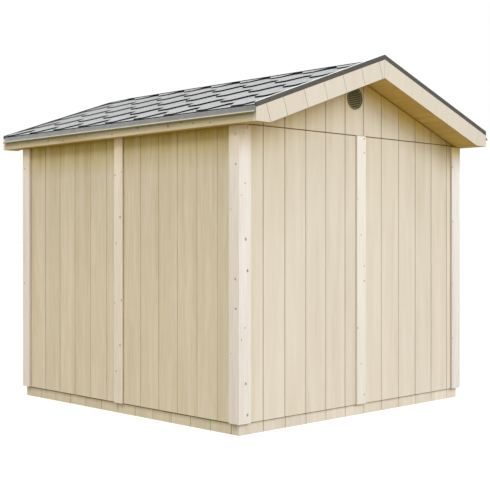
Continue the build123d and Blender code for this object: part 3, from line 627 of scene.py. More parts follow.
def gable_triangle(name, node, place, vent_u, joints, seed):
    b = Builder()
    cuts = [-IN_X] + [j for j in joints if -IN_X + 0.004 < j < IN_X - 0.004] + [IN_X]
    zlo = WALL_TOP + LEVEL
    roof = lambda u: top(abs(u)) - UNDER
    for i in range(len(cuts) - 1):
        u0, u1 = cuts[i], cuts[i + 1]
        key = round((u0 + u1) * 500) + seed * 977
        r = random.Random(key)
        tone, shift = r.random(), r.random()

        def outline(a, c, z):
            pts = [(a, z), (c, z), (c, roof(c))]
            if a < 0 < c:
                pts.append((0.0, roof(0)))
            return pts + [(a, roof(a))]
        inl, inr = i > 0, i < len(cuts) - 2
        # face plate, down to the bottom of the chamfer, then the body with the tongue line
        face = outline(u0 + (V_HALF if inl else 0), u1 - (V_HALF if inr else 0), zlo + V_HALF * 0.6)
        mid = outline(u0 + (1.4 * gable_gap(u0) if inl else 0), u1 - (1.4 * gable_gap(u1) if inr else 0), zlo)
        full = outline(u0, u1, zlo)
        rings = [(face, 0.0), (mid, V_DEPTH), (mid, GAP_DEPTH), (full, GAP_DEPTH), (full, BOARD_T)]
        n = len(face)
        holes = []
        if u0 < vent_u < u1:
            holes = [list(reversed(circle(vent_u, VENT_Z, VENT_HOLE_R)))]
        vs, fs, kinds = [], [], []
        for pts, w in rings:
            vs += [place(u, z, w) for u, z in pts]
        for k in range(len(rings) - 1):
            for q in range(n):
                a, c = k * n + q, k * n + (q + 1) % n
                fs.append((c, a, a + n, c + n))
                kinds.append(1 if k in (1, 2) else 0)
        if holes:
            loops = [face, holes[0]]
            flat_f = face + holes[0]
            tris = tessellate_polygon([[Vector((p[0], p[1], 0)) for p in lp] for lp in loops])
            hn = len(holes[0])
            oh = len(vs)
            vs += [place(u, z, 0.0) for u, z in holes[0]]
            vs += [place(u, z, BOARD_T) for u, z in holes[0]]
            fidx = lambda j: j if j < n else oh + j - n
            for t in tris:
                fs.append(tuple(fidx(j) for j in t))
            loops = [full, holes[0]]
            tris = tessellate_polygon([[Vector((p[0], p[1], 0)) for p in lp] for lp in loops])
            ob = (len(rings) - 1) * n
            bidx = lambda j: ob + j if j < n else oh + hn + j - n
            for t in tris:
                fs.append(tuple(bidx(j) for j in reversed(t)))
            for q in range(hn):
                a, c = oh + q, oh + (q + 1) % hn
                fs.append((c, a, a + hn, c + hn))
        else:
            fs.append(tuple(range(n)))
            o = (len(rings) - 1) * n
            fs.append(tuple(o + q for q in reversed(range(n))))
        kinds += [0] * (len(fs) - len(kinds))
        b.add(vs, fs, kinds, tone, shift)
    # batten behind the level joint
    q = [(-IN_X, WALL_TOP - LEVEL), (IN_X, WALL_TOP - LEVEL), (IN_X, WALL_TOP + LEVEL), (-IN_X, WALL_TOP + LEVEL)]
    b.prism(q, lambda u, z, w: place(u, z, w + GAP_DEPTH), BOARD_T - GAP_DEPTH, mi=1)
    # painted shadow: a thin dark strip on the wall face along the soffit stands in for the shadow line where they meet
    for sg in (-1, 1):
        q = [(0.0, SOFFIT_Z - 0.0050), (IN_X, SOFFIT_Z - T * IN_X - 0.0050), (IN_X, SOFFIT_Z - T * IN_X + 0.0040), (0.0, SOFFIT_Z + 0.0040)]
        if sg < 0:
            q = [(-u, z) for u, z in reversed(q)]
        b.prism(q, lambda u, z, w: place(u, z, w - 0.0008), 0.0010, mi=2)
    settle(b.make(name, [M_WALL_GABLE, M_GROOVE, M_SOFFIT_SHADOW_LINE]), "wall_boards", node)


gable_triangle("rear_gable_boards", "rear_gable_panel", rear_face(), -VENT_X, gable_j, 3)
gable_triangle("front_gable_boards", "front_gable_panel", front_face(), -VENT_X, gable_j, 5)

def eased_box(bld, lo, hi, r=0.0022, tone=0.5, shift=0.0, mi=0):
    """A planed board: a box with its long edges eased."""
    x0, y0, z0 = lo
    x1, y1, z1 = hi
    bm = bmesh.new()
    bmesh.ops.create_cube(bm, size=1.0)
    for v in bm.verts:
        v.co = Vector((x0 + (v.co.x + 0.5) * (x1 - x0), y0 + (v.co.y + 0.5) * (y1 - y0), z0 + (v.co.z + 0.5) * (z1 - z0)))
    bmesh.ops.bevel(bm, geom=list(bm.edges), offset=r, segments=2, profile=0.6, affect="EDGES")
    bm.verts.ensure_lookup_table()
    bld.add([tuple(v.co) for v in bm.verts], [tuple(v.index for v in f.verts) for f in bm.faces], mi, tone, shift)
    bm.free()


# ------------------------------------------------------------------ base boards
BASE_TOP = BASE_H - 0.0065            # the boards stop short of the wall, which leaves a dark line
END_T = 0.0192
for name, node, faces_, half in (
        ("side_base_boards", "side_base_beams", (left_face(BASE_X), right_face(BASE_X)), BASE_Y - END_T),
        ("gable_base_boards", "gable_base_beams", (rear_face(BASE_Y), front_face(BASE_Y)), BASE_X - BASE_T)):
    b = Builder()
    for i, place in enumerate(faces_):
        side = node == "side_base_beams"
        js = series(SIDE_BASE_J0, -half, half, 0.2) if side else [j + 0.009 for j in gable_j]
        boards(b, js, -half, half, 0.0, BASE_TOP if side else BASE_H - 0.0045, place, t=0.019, seed=6 + i, vee=0.0034, gap=base_gap if side else even_gap)
        q = [(-half, 0.0), (half, 0.0), (half, BASE_H), (-half, BASE_H)]
        b.prism(q, lambda u, z, w: place(u, z, w + 0.0192), BASE_T - 0.0192, mi=1)
        if side:
            # the corner pieces that close the gable boards' ends
            for v in (-1, 1):
                pts = [place(u, z, w) for u in (v * half, v * BASE_Y) for z in (0.0, BASE_TOP) for w in (0.0, BASE_T)]
                lo = tuple(min(q[k] for q in pts) for k in range(3))
                hi = tuple(max(q[k] for q in pts) for k in range(3))
                eased_box(b, lo, hi, 0.0008, 0.5, 0.3, mi=2)
    settle(b.make(name, [M_BASE_SIDE if node == "side_base_beams" else M_BASE, M_GROOVE, M_BASE]), "base_timber", node)


# ------------------------------------------------------- eased boards (trims)
def trims(name, slot, mat, solids, *replaced, r=0.0022):
    b = Builder()
    for lo, hi in solids:
        k = random.Random(round(sum(lo) * 1000 + sum(hi) * 377))
        eased_box(b, lo, hi, r, k.random(), k.random())
    return settle(b.make(name, [mat]), slot, *replaced)


TRIM_T = 0.018
PLATE, REBATE = 0.0125, 0.0080         # face thickness of a strip and depth of the rebate behind its edges
TX, TY = WALL_X + TRIM_T, WALL_Y + TRIM_T


def strip(bld, place, u0, u1, z0, z1, open0, open1, seed, mi=0, deep=REBATE, foot=None):
    """A cover strip or corner board with eased front edges. Behind its open edges it is rebated,
    which leaves a shadow gap beside the wall. place is measured from the strip's face."""
    k = random.Random(seed)
    r = 0.0016
    dark = []

    def section(d):
        dark.clear()
        sec = [(u0 + r, 0.0), (u1 - r, 0.0), (u1 - 0.3 * r, 0.3 * r), (u1, r)]
        if open1:
            dark.extend((len(sec), len(sec) + 1))
            sec += [(u1, PLATE), (u1 - d, PLATE), (u1 - d, TRIM_T)]
        else:
            sec += [(u1, TRIM_T)]
        if open0:
            dark.extend((len(sec), len(sec) + 1))
            sec += [(u0 + d, TRIM_T), (u0 + d, PLATE), (u0, PLATE)]
        else:
            sec += [(u0, TRIM_T)]
        return sec + [(u0, r), (u0 + 0.3 * r, 0.3 * r)]
    low, high = section(deep if foot is None else foot), section(deep)
    n = len(high)
    vs = [place(u, z0, w) for u, w in low] + [place(u, z1, w) for u, w in high]
    fs = [tuple(range(n)), tuple(range(2 * n - 1, n - 1, -1))] + [(q, n + q, n + (q + 1) % n, (q + 1) % n) for q in range(n)]
    bld.add(vs, fs, [mi, mi] + [1 if q in dark else mi for q in range(n)], k.random(), k.random())


CROWN = 0.0035                        # open joint between a corner board and the soffit


def crown(bld, place, u0, u1):
    """The dark line over a corner board."""
    pts = [place(u, z, w) for u in (u0 + REBATE, u1 - REBATE) for z in (EAVE_Z - CROWN, EAVE_Z) for w in (0.009, TRIM_T)]
    lo = tuple(min(p[i] for p in pts) for i in range(3))
    hi = tuple(max(p[i] for p in pts) for i in range(3))
    eased_box(bld, lo, hi, 0.0003, 0.5, 0.0, mi=1)


def knot(bld, place, u, z, r, seed):
    """A small knot, very slightly proud of the planed face."""
    k = random.Random(seed)
    n = 14
    ru, rz = r * k.uniform(1.05, 1.35), r * k.uniform(1.2, 1.7)
    turn = k.uniform(-0.5, 0.5)
    vs = []
    for f, w in ((1.0, 0.0006), (0.92, -0.00012), (0.5, -0.00022)):
        for i in range(n):
            a = 2 * math.pi * i / n
            x, y = ru * f * cos(a), rz * f * sin(a)
            vs.append(place(u + x * cos(turn) - y * sin(turn), z + x * sin(turn) + y * cos(turn), w))
    vs.append(place(u, z, -0.00025))
    fs = []
    for q in range(2):
        for i in range(n):
            j = (i + 1) % n
            fs.append((q * n + i, q * n + j, q * n + n + j, q * n + n + i))
    fs += [(2 * n + i, 2 * n + (i + 1) % n, 3 * n) for i in range(n)]
    fs.append(tuple(reversed(range(n))))
    bld.add(vs, fs, 2, k.random(), k.random())


# Where the knots lie on the strips: across from the strip's middle, height, radius.
SAW = 0.916                           # the timber's knots come round again at this height
KNOTS = {
    "side_strip": ((-0.025, 0.489, 0.0075), (0.021, 0.302, 0.0055), (0.034, 0.790, 0.0050), (-0.041, 0.812, 0.0045)),
    "side_corner": ((-0.018, 0.806, 0.0060), (-0.013, 0.994, 0.0065), (0.028, 0.520, 0.0035)),
    "gable_corner": ((0.022, 0.130, 0.0068), (0.006, 0.330, 0.0072), (0.001, 0.684, 0.0040), (-0.030, 0.610, 0.0035)),
    "side_corner_far": ((-0.0218, 0.897, 0.0060),),
    "gable_corner_far": ((0.0465, 0.898, 0.0050), (0.0465, 0.471, 0.0045)),
    "gable_strip": ((0.031, 0.140, 0.0055), (0.031, 0.948, 0.0060), (-0.004, 0.362, 0.0045), (-0.041, 0.618, 0.0040)),
}


def strip_knots(bld, kind, place, mid, z0, z1, seed, flip=1):
    for i, (du, z, r) in enumerate(KNOTS[kind]):
        zz = z - 2 * SAW
        while zz < z1 - 0.006:
            if zz > z0 + 0.012:
                knot(bld, place, mid + flip * du, min(zz, z1 - 0.016), r, seed * 101 + i * 17 + round(zz * 50))
            zz += SAW


TRIM_MATS = [M_TRIM_Z, M_REBATE_C, M_KNOT, M_TRIM_C, M_TRIM_R, M_TRIM_F]
side_mid, gable_mid = TY - 0.0475, TX - 0.0525
for nm, sp, gp, su, gu, sd in (
        ("rear_left", left_face(TX), rear_face(TY), -1, -1, 61),
        ("rear_right", right_face(TX), rear_face(TY), 1, 1, 62),
        ("front_left", left_face(TX), front_face(TY), 1, 1, 63),
        ("front_right", right_face(TX), front_face(TY), -1, -1, 64)):
    b = Builder()
    u = sorted((su * TY, su * (TY - 0.095)))
    crown(b, sp, u[0], u[1])
    strip(b, sp, u[0], u[1], BASE_H, EAVE_Z - CROWN, su > 0, su < 0, sd, mi=5 if nm == "front_left" else 0, deep=0.0022)
    strip_knots(b, "side_corner_far" if nm == "front_left" else "side_corner", sp, su * side_mid, BASE_H, EAVE_Z, sd, 1 if su < 0 else -1)
    u = sorted((gu * (WALL_X - 0.0005), gu * (TX - 0.105)))
    crown(b, gp, u[0], u[1])
    strip(b, gp, u[0], u[1], BASE_H, EAVE_Z - CROWN, gu > 0, gu < 0, sd + 20, mi=4 if nm == "rear_right" else 3, deep=0.0022)
    strip_knots(b, "gable_corner_far" if nm == "rear_right" else "gable_corner", gp, gu * gable_mid, BASE_H, EAVE_Z, sd + 20, 1 if gu < 0 else -1)
    settle(b.make(nm + "_corner_trim", TRIM_MATS), "trim_boards", nm + "_corner_boards")
for nm, place, kind, ztop, sd in (
        ("left_wall_cover_strip", left_face(TX), "side_strip", EAVE_Z, 71),
        ("right_wall_cover_strip", right_face(TX), "side_strip", EAVE_Z, 72),
        ("rear_wall_cover_strip", rear_face(TY - 0.005), "gable_strip", WALL_TOP, 73)):
    b = Builder()
    strip(b, place, -0.0475, 0.0475, BASE_H, ztop, True, True, sd, deep=0.0025 if kind == "gable_strip" else 0.0055)
    strip_knots(b, kind, place, 0.0, BASE_H, ztop, sd)
    settle(b.make(nm + "_trim", [M_TRIM_G if kind == "gable_strip" else M_TRIM_S, M_REBATE_C if kind == "gable_strip" else M_REBATE, M_KNOT]), "trim_boards", nm)
lo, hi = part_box("door_side_trims")
trims("door_side_trim_boards", "trim_boards", M_TRIM_Z,
      [((lo.x, lo.y, lo.z), (-OPEN_X, hi.y, hi.z - 0.0005)), ((OPEN_X, lo.y, lo.z), (hi.x, hi.y, hi.z - 0.0005))], "door_side_trims")
lo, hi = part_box("door_head_trim")
trims("door_head_trim_board", "trim_boards", M_TRIM_X, [(tuple(lo), tuple(hi))], "door_head_trim")

# Door leaf: boards of the same kind on a closed back.
lo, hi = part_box("door_leaf")
b = Builder()
boards(b, [-0.2, 0.0, 0.2], -hi.x, -lo.x, lo.z, hi.z, front_face(hi.y), t=hi.y - lo.y, seed=11)
settle(b.make("door_leaf_boards", [M_WALL_GABLE, M_GROOVE]), "wall_boards", "door_leaf")

# ------------------------------------------------------------------- eave wood
# knots along the fascia, and how far up its face they lie
FASCIA_KNOTS = ((1.10, 0.036), (0.823, 0.030), (0.62, 0.020), (0.449, 0.040), (0.320, 0.034), (0.001, 0.022), (-0.300, 0.044),
                (-0.434, 0.050), (-0.627, 0.032), (-0.762, 0.046), (-0.884, 0.030), (-1.051, 0.022))
for sx, nm in ((-1, "left"), (1, "right")):
    b = Builder()
    xo, xi = ROOF_X, ROOF_X - 0.018
    r = 0.0012
    poly = [(xo, EAVE_Z + r), (xo, top(xo) - UNDER), (xi, top(xi) - UNDER), (xi, EAVE_Z), (xo - r, EAVE_Z)]
    k = random.Random(31 + sx)
    vs = [(sx * x, -DECK_Y, z) for x, z in poly] + [(sx * x, DECK_Y, z) for x, z in poly]
    n = len(poly)
    fs = [tuple(range(n)), tuple(range(2 * n - 1, n - 1, -1))] + [(i, (i + 1) % n, n + (i + 1) % n, n + i) for i in range(n)]
    b.add(vs, fs, 0, k.random(), k.random())
    face = left_face(ROOF_X) if sx < 0 else right_face(ROOF_X)
    for i, (u, z) in enumerate(FASCIA_KNOTS):
        knot(b, face, u, EAVE_Z + z, k.uniform(0.0042, 0.0062), 300 + i)
    settle(b.make(nm + "_eave_fascia_board", [M_FASCIA, M_FASCIA, M_KNOT_D]), "roof_boards", nm + "_eave_fascia")
    lo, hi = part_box(nm + "_eave_soffit")
    trims(nm + "_eave_soffit_board", "roof_boards", M_SOFFIT, [(tuple(lo), tuple(hi))], nm + "_eave_soffit", r=0.0012)

# ----------------------------------------------------------------- barge boards
FOOT = (RIDGE_Z - BARGE_D - EAVE_Z) / T


def clip_half(poly, nx, nz, d):
    """The part of a polygon where nx*u + nz*z <= d."""
    out = []
    for i in range(len(poly)):
        a, c = poly[i], poly[(i + 1) % len(poly)]
        da, dc = nx * a[0] + nz * a[1] - d, nx * c[0] + nz * c[1] - d
        if da <= 0:
            out.append(a)
        if (da < 0 < dc) or (dc < 0 < da):
            t = da / (da - dc)
            out.append((a[0] + t * (c[0] - a[0]), a[1] + t * (c[1] - a[1])))
    return out


def inset(poly, r):
    """The outline moved inwards by r (anticlockwise, convex)."""
    n = len(poly)
    lines = []
    for i in range(n):
        a, c = Vector(poly[i]), Vector(poly[(i + 1) % n])
        d = (c - a).normalized()
        nrm = Vector((-d.y, d.x))
        lines.append((nrm, nrm.dot(a) + r))
    out = []
    for i in range(n):
        (n1, d1), (n2, d2) = lines[i - 1], lines[i]
        det = n1.x * n2.y - n1.y * n2.x
        out.append(((d1 * n2.y - d2 * n1.y) / det, (n1.x * d2 - n2.x * d1) / det))
    return out


def tidy(poly, eps=1e-5):
    out = []
    for p in poly:
        if not out or (abs(p[0] - out[-1][0]) + abs(p[1] - out[-1][1])) > eps:
            out.append(p)
    if len(out) > 1 and (abs(out[0][0] - out[-1][0]) + abs(out[0][1] - out[-1][1])) < eps:
        out.pop()
    return out


def eased_prism(bld, poly, place, depth, r=0.0016, tone=0.5, shift=0.0, mi=0):
    """A flat board with its front edges eased."""
    n = len(poly)
    rings = [(inset(poly, r), 0.0), (poly, r), (poly, depth)]
    vs, fs = [], []
    for pts, w in rings:
        vs += [place(p[0], p[1], w) for p in pts]
    for k in range(2):
        for q in range(n):
            a, c = k * n + q, k * n + (q + 1) % n
            fs.append((c, a, a + n, c + n))
    fs.append(tuple(range(n)))
    fs.append(tuple(2 * n + q for q in reversed(range(n))))
    bld.add(vs, fs, mi, tone, shift)


JOINT = 0.0011          # half of the gap at the barge boards' cross joints
for nm, place, sd in (("rear", rear_face(ROOF_Y), 41), ("front", front_face(ROOF_Y), 43)):
    b = Builder()
    for s in (-1, 1):
        h = 0.0005
        poly = [(h, top(h) - BARGE_D), (FOOT, EAVE_Z), (ROOF_X, EAVE_Z), (ROOF_X, top(ROOF_X)), (h, top(h))]
        # cross joints, by their distance down the slope from the ridge
        marks = [1.232] + [1.273 - 0.2007 * k for k in range(1, 7)]
        half = JOINT if (s < 0) == (nm == "rear") else 0.0003
        edges = [None] + marks + [None]
        for i in range(len(edges) - 1):
            # coordinate along the slope: q = u*C - (z - RIDGE_Z)*S
            pc = poly
            hi_, lo_ = edges[i], edges[i + 1]
            if hi_ is not None:
                pc = clip_half(pc, C, -S, hi_ - half - RIDGE_Z * S)
            if lo_ is not None:
                pc = clip_half(pc, -C, S, -(lo_ + half) + RIDGE_Z * S)
            pc = tidy(pc)
            if len(pc) < 3:
                continue
            k = random.Random(sd + 7 * i + (3 if s > 0 else 0))
            if s < 0:
                pc = [(-u, z) for u, z in reversed(pc)]
            eased_prism(b, pc, place, BARGE_T, 0.0014 if half == JOINT else 0.0005, k.random(), k.random())
    ob = b.make(nm + "_barge_board_lengths", [M_BARGE, M_SOFFIT])
    # painted shade: the barge boards' downward faces take the darker golden soffit finish.
    for f in ob.data.polygons:
        if f.normal.z < -0.75:
            f.material_index = 1
    settle(ob, "barge_boards", nm + "_barge_boards")

# ---------------------------------------------------------------- gable soffits
SOFFIT_UP = SOFFIT_T / C
SLOT = 0.009                          # open joint between the soffit and the wall
SOFFIT_FOOT = (SOFFIT_Z - EAVE_Z) / T
for nm, sy, sd in (("rear", -1, 51), ("front", 1, 53)):
    b = Builder()
    for s in (-1, 1):
        # boards across the overhang, side by side down the slope
        edges = [0.0005] + [0.118 + 0.2 * k for k in range(6)]
        edges = [e for e in edges if e < SOFFIT_FOOT - 0.03] + [SOFFIT_FOOT]
        for i in range(len(edges) - 1):
            a0, a1 = edges[i] + (0.0010 if i else 0), edges[i + 1] - 0.0010
            k = random.Random(sd + 5 * i + (2 if s > 0 else 0))
            e = 0.0030
            sec = [(a0 + e, 0.0), (a1 - e, 0.0), (a1, e), (a1, SOFFIT_UP), (a0, SOFFIT_UP), (a0, e)]
            vs = []
            for y in (sy * (WALL_Y + SLOT), sy * DECK_Y):
                vs += [(s * a, y, SOFFIT_Z - T * a + up) for a, up in sec]
            n = len(sec)
            fs = [tuple(range(n)), tuple(range(2 * n - 1, n - 1, -1))] + [(q, (q + 1) % n, n + (q + 1) % n, n + q) for q in range(n)]
            b.add(vs, fs, 0, k.random(), k.random())
        # level return at the foot
        k = random.Random(sd + 77 + s)
        sec = [(SOFFIT_FOOT, EAVE_Z), (WALL_X, EAVE_Z), (WALL_X, EAVE_Z + 0.006), (SOFFIT_FOOT, EAVE_Z + 0.012)]
        vs = []
        for y in (sy * (WALL_Y + SLOT), sy * DECK_Y):
            vs += [(s * a, y, z) for a, z in sec]
        fs = [(0, 1, 2, 3), (7, 6, 5, 4)] + [(q, (q + 1) % 4, 4 + (q + 1) % 4, 4 + q) for q in range(4)]
        b.add(vs, fs, 1, k.random(), k.random())
    settle(b.make(nm + "_gable_soffit_boards", [M_SOFFIT, M_RETURN]), "roof_boards", nm + "_gable_soffit")

# -------------------------------------------------------------------- shingles
COVER_X = ROOF_X + 0.006
TAB = 1.0 / 3.0
FLAT, NOTCH, RISE = 0.104, 0.078, 0.128      # tab's lower edge, width of the notch's head, notch depth
DIAG = (TAB - FLAT - NOTCH) / 2
ROW = 0.276
FIRST = 0.026                                # lower edge of the first row, up the slope from the eave
EAVE_ROW = 0.015                             # the first row's edge is a little lower, over the starter strip
STEP = 0.0105                                # step down from one row to the next
EAVE_STEP = 0.0155                           # the same at the eave row
EAVE_RISE, EAVE_SIDES = 0.132, (0.0, 0.022)         # its notches are deeper and narrower
RIDGE_ROW, RIDGE_RISE = 1.125, 0.075         # lower edge of the ridge row, and its notch depth
RIDGE_STEP, RIDGE_HEAD = 0.0084, 0.0098      # its step, and the step at its notches
RIDGE_END = 0.0006                           # height of the shingles at the ridge
RIDGE_SEAM = (0.0110, 0.0040)                # half width and height of the narrow seam between the slopes
HEAD = 0.0066                                # height of a row where the next one's edge lies on it
EAVE_PHASE = 0.178                           # the eave row lies a little to one side of the others
PHASE = 0.245                                # centre of a tab, from the verge's outer face
RIDGE_PHASE = PHASE - 0.033
SLOPE_L = COVER_X / C
Y0, Y1 = 0.0125, 2 * ROOF_Y - 0.0125


def zigzag(phase, rise, sides):
    """The lower edge of a row, from one verge to the other: (distance, rise) points."""
    raw = []
    k = -2
    while phase + k * TAB - TAB < Y1:
        c = phase + k * TAB
        raw += [(c - FLAT / 2 + sides[0], 0.0), (c + FLAT / 2, 0.0), (c + FLAT / 2 + DIAG + sides[1], rise), (c + FLAT / 2 + DIAG + NOTCH, rise)]
        k += 1

    def at(y):
        for (a, ra), (c, rc) in zip(raw, raw[1:]):
            if a <= y <= c:
                return ra + (rc - ra) * (y - a) / (c - a)
        return 0.0
    return [(Y0, at(Y0))] + [p for p in raw if Y0 < p[0] < Y1] + [(Y1, at(Y1))]


def roof_point(s, v, y, h):
    """A point on a roof slope: v up from the eave, y from the rear verge, h above the roof boards."""
    if v > SLOPE_L - 1e-6:
        return (s * 0.0003, y - ROOF_Y, RIDGE_Z + h / C)
    a = COVER_X - v * C
    return (s * (a + h * S), y - ROOF_Y, top(a) + h * C)


for s, nm in ((-1, "left"), (1, "right")):
    b = Builder()
    # starter strip, seen in the notches of the first row; its sloping top is in the dark edge finish, painted shade
    # under the first row's edge
    st = [(0.012, 0.0024), (0.160, 0.0024), (0.160, 0.0080), (0.012, 0.0135), (0.012, 0.0070)]
    vs = [roof_point(s, v, Y0, h) for v, h in st] + [roof_point(s, v, Y1, h) for v, h in st]
    b.add(vs, [(0, 1, 2, 3, 4), (9, 8, 7, 6, 5), (0, 5, 6, 1), (1, 6, 7, 2), (2, 7, 8, 3), (3, 8, 9, 4), (4, 9, 5, 0)], [1, 1, 1, 1, 0, 1, 0], 0.55, 0.0)
    v0 = EAVE_ROW
    r = 0
    while v0 < SLOPE_L - 0.10:
        last = v0 + ROW > SLOPE_L - 0.10
        if last:
            v0 = RIDGE_ROW
        rise = RIDGE_RISE if last else RISE if r else EAVE_RISE
        vtop = min(v0 + ROW + RISE + 0.02, SLOPE_L)
        vmid = min(v0 + rise + 0.029, vtop - 0.01) if r else v0 + ROW
        zz = zigzag(RIDGE_PHASE if last else PHASE if r else EAVE_PHASE, rise, (0.0, 0.0) if r else EAVE_SIDES)
        if s > 0:
            zz = [(2 * ROOF_Y - y, q) for y, q in reversed(zz)]

        def high(v):
            if last:
                if v < v0 + rise + 0.001:
                    return HEAD + RIDGE_STEP + (RIDGE_HEAD - RIDGE_STEP) * (v - v0) / rise
                return RIDGE_END + (HEAD + RIDGE_STEP - RIDGE_END) * (SLOPE_L - v) / (SLOPE_L - v0)
            if not r:
                if v < v0 + rise + 0.001:
                    return HEAD + EAVE_STEP * (1.0 - 0.2 * (v - v0) / rise)
                return HEAD - STEP * (v - v0 - ROW) / ROW
            return HEAD + STEP * (1.0 - (v - v0) / ROW)

        def low(v):
            flat = HEAD - STEP * (v - v0) / ROW
            if last:
                return min(flat - 0.0014, 0.0009 + 0.05 * (SLOPE_L - v))
            if r:
                return flat + 0.0003
            return HEAD - 0.0004 if 0.5 * rise < v - v0 < rise + 0.001 else max(flat + 0.0003, 0.0006)
        for i in range(len(zz) - 1):
            (ya, ra), (yb, rb) = zz[i], zz[i + 1]
            if yb - ya < 1e-6:
                continue
            idx = floor(((ya + yb) / 2 - PHASE) / TAB + 0.5) if s < 0 else floor((2 * ROOF_Y - (ya + yb) / 2 - PHASE) / TAB + 0.5)
            key = random.Random(idx * 31 + r * 7 + (100 if s > 0 else 0))
            tone = key.random()
            cols = ((ya, (v0 + ra, vmid, vtop)), (yb, (v0 + rb, vmid, vtop)))
            vs = []
            for y, vv in cols:
                vs += [roof_point(s, v, y, high(v)) for v in vv] + [roof_point(s, v, y, low(v)) for v in vv]
            # 0-2 upper face at ya, 3-5 lower face at ya, 6-8 upper at yb, 9-11 lower at yb
            fs = [(0, 6, 7, 1), (1, 7, 8, 2), (3, 4, 10, 9), (4, 5, 11, 10), (0, 3, 9, 6), (2, 8, 11, 5)]
            kinds = [0, 0, 1, 1, 1, 1]
            if i == 0:
                fs += [(0, 1, 4, 3), (1, 2, 5, 4)]
                kinds += [1, 1]
            if i == len(zz) - 2:
                fs += [(6, 9, 10, 7), (7, 10, 11, 8)]
                kinds += [1, 1]
            b.add(vs, fs, kinds, tone, 0.0)
        r += 1
        v0 = FIRST + ROW * r
    if s < 0:
        w, t = RIDGE_SEAM
        sec = [(-w, -0.004, 0), (-w, -0.001, 1), (-w + 0.001, 0.0, 1), (w - 0.001, 0.0, 1), (w, -0.001, 1), (w, -0.004, 0)]
        vs = [(x, y - ROOF_Y, RIDGE_Z + z + q * h) for y, h in ((Y0, 0.0006), (Y0 + 0.45, t), (Y1, t)) for x, z, q in sec]
        b.add(vs, [(5, 4, 3, 2, 1, 0), (12, 13, 14, 15, 16, 17)] + [(k + j, (k + 1) % 6 + j, 6 + (k + 1) % 6 + j, 6 + k + j) for j in (0, 6) for k in range(6)], 2, 0.5, 0.0)
    settle(b.make(nm + "_shingle_rows", [M_SHINGLE, M_EDGE, M_SEAM], merge=1e-6), "shingles", nm + "_shingles")

# ---------------------------------------------------------------- verge trims
VERGE_W, LIP = 0.0122, 0.0040
LAP = 0.215                           # from here up to the ridge the front trims run down to the shingles


SKIRT = 0.0045                        # lap of the face over the barge boards


def verge(name, node, sy, cut, high):
    """Folded sheet along the verge: a dark outer face and a turned-up lip along its top, drawn near white as a painted
    reflection of the bright sky.
    cut: the part near the ridge gets lower towards the ridge."""
    b = Builder()

    def run(sx, ends, outline, mi):
        vs = []
        for a, hgt in ends:
            vs += [(sx * a, sy * (ROOF_Y - q), top(a) + h) for q, h in outline(hgt)]
        n = len(vs) // 2
        fs = [tuple(range(n)), tuple(range(2 * n - 1, n - 1, -1))] + [(k, (k + 1) % n, n + (k + 1) % n, n + k) for k in range(n)]
        b.add(vs, fs, mi, 0.5, 0.0)

    def body(h):
        e = 0.002
        return [(-0.0010, -SKIRT), (-0.0010, h - e), (e * 0.3 - 0.0010, h - e * 0.3), (e, h), (VERGE_W, h), (VERGE_W, 0.0008), (-0.0001, 0.0008), (-0.0001, -SKIRT)]

    def lip(h):
        return [(0.0070, h - LIP + 0.0001), (0.0070, h - 0.001), (0.0078, h), (VERGE_W - 0.0008, h), (VERGE_W, h - 0.001), (VERGE_W, h - LIP + 0.0001)]
    for sx in (-1, 1):
        start = LAP if cut else 0.0004
        if cut:
            run(sx, ((0.0004, 0.0045), (LAP, high - LIP)), body, 0)
        foot = high - (0.003 if sx < 0 and not cut else 0.0)
        run(sx, ((start, high - LIP), (ROOF_X, foot - LIP)), body, 0)
        run(sx, ((start, high), (ROOF_X, foot)), lip, 1)
    settle(b.make(name, [M_VERGE, M_LIP]), "verge_sheet", node)


verge("rear_verge_sheets", "rear_verge_trims", -1, False, 0.0335)
verge("front_verge_sheets", "front_verge_trims", 1, True, 0.029)

# ------------------------------------------------ rolled hems of the drip edges
DRIP_FRONT = 1.446                    # the drip edges stop at the front barge boards
for sx, nm in ((-1, "left"), (1, "right")):
    b = Builder()
    n = 10
    ring = [(1.2683 + 0.0027 * cos(2 * math.pi * i / n), 2.0297 + 0.0034 * sin(2 * math.pi * i / n)) for i in range(n)]
    vs = [(sx * a, -ROOF_Y, z) for a, z in ring] + [(sx * a, DRIP_FRONT, z) for a, z in ring]
    fs = [tuple(range(n)), tuple(range(2 * n - 1, n - 1, -1))] + [(k, (k + 1) % n, n + (k + 1) % n, n + k) for k in range(n)]
    b.add(vs, fs, 0, 0.5, 0.0)
    # painted highlight: the hem takes the pale M_HEM finish.
    ob = b.make(nm + "_drip_hem", [M_HEM])
    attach(ob, "root")


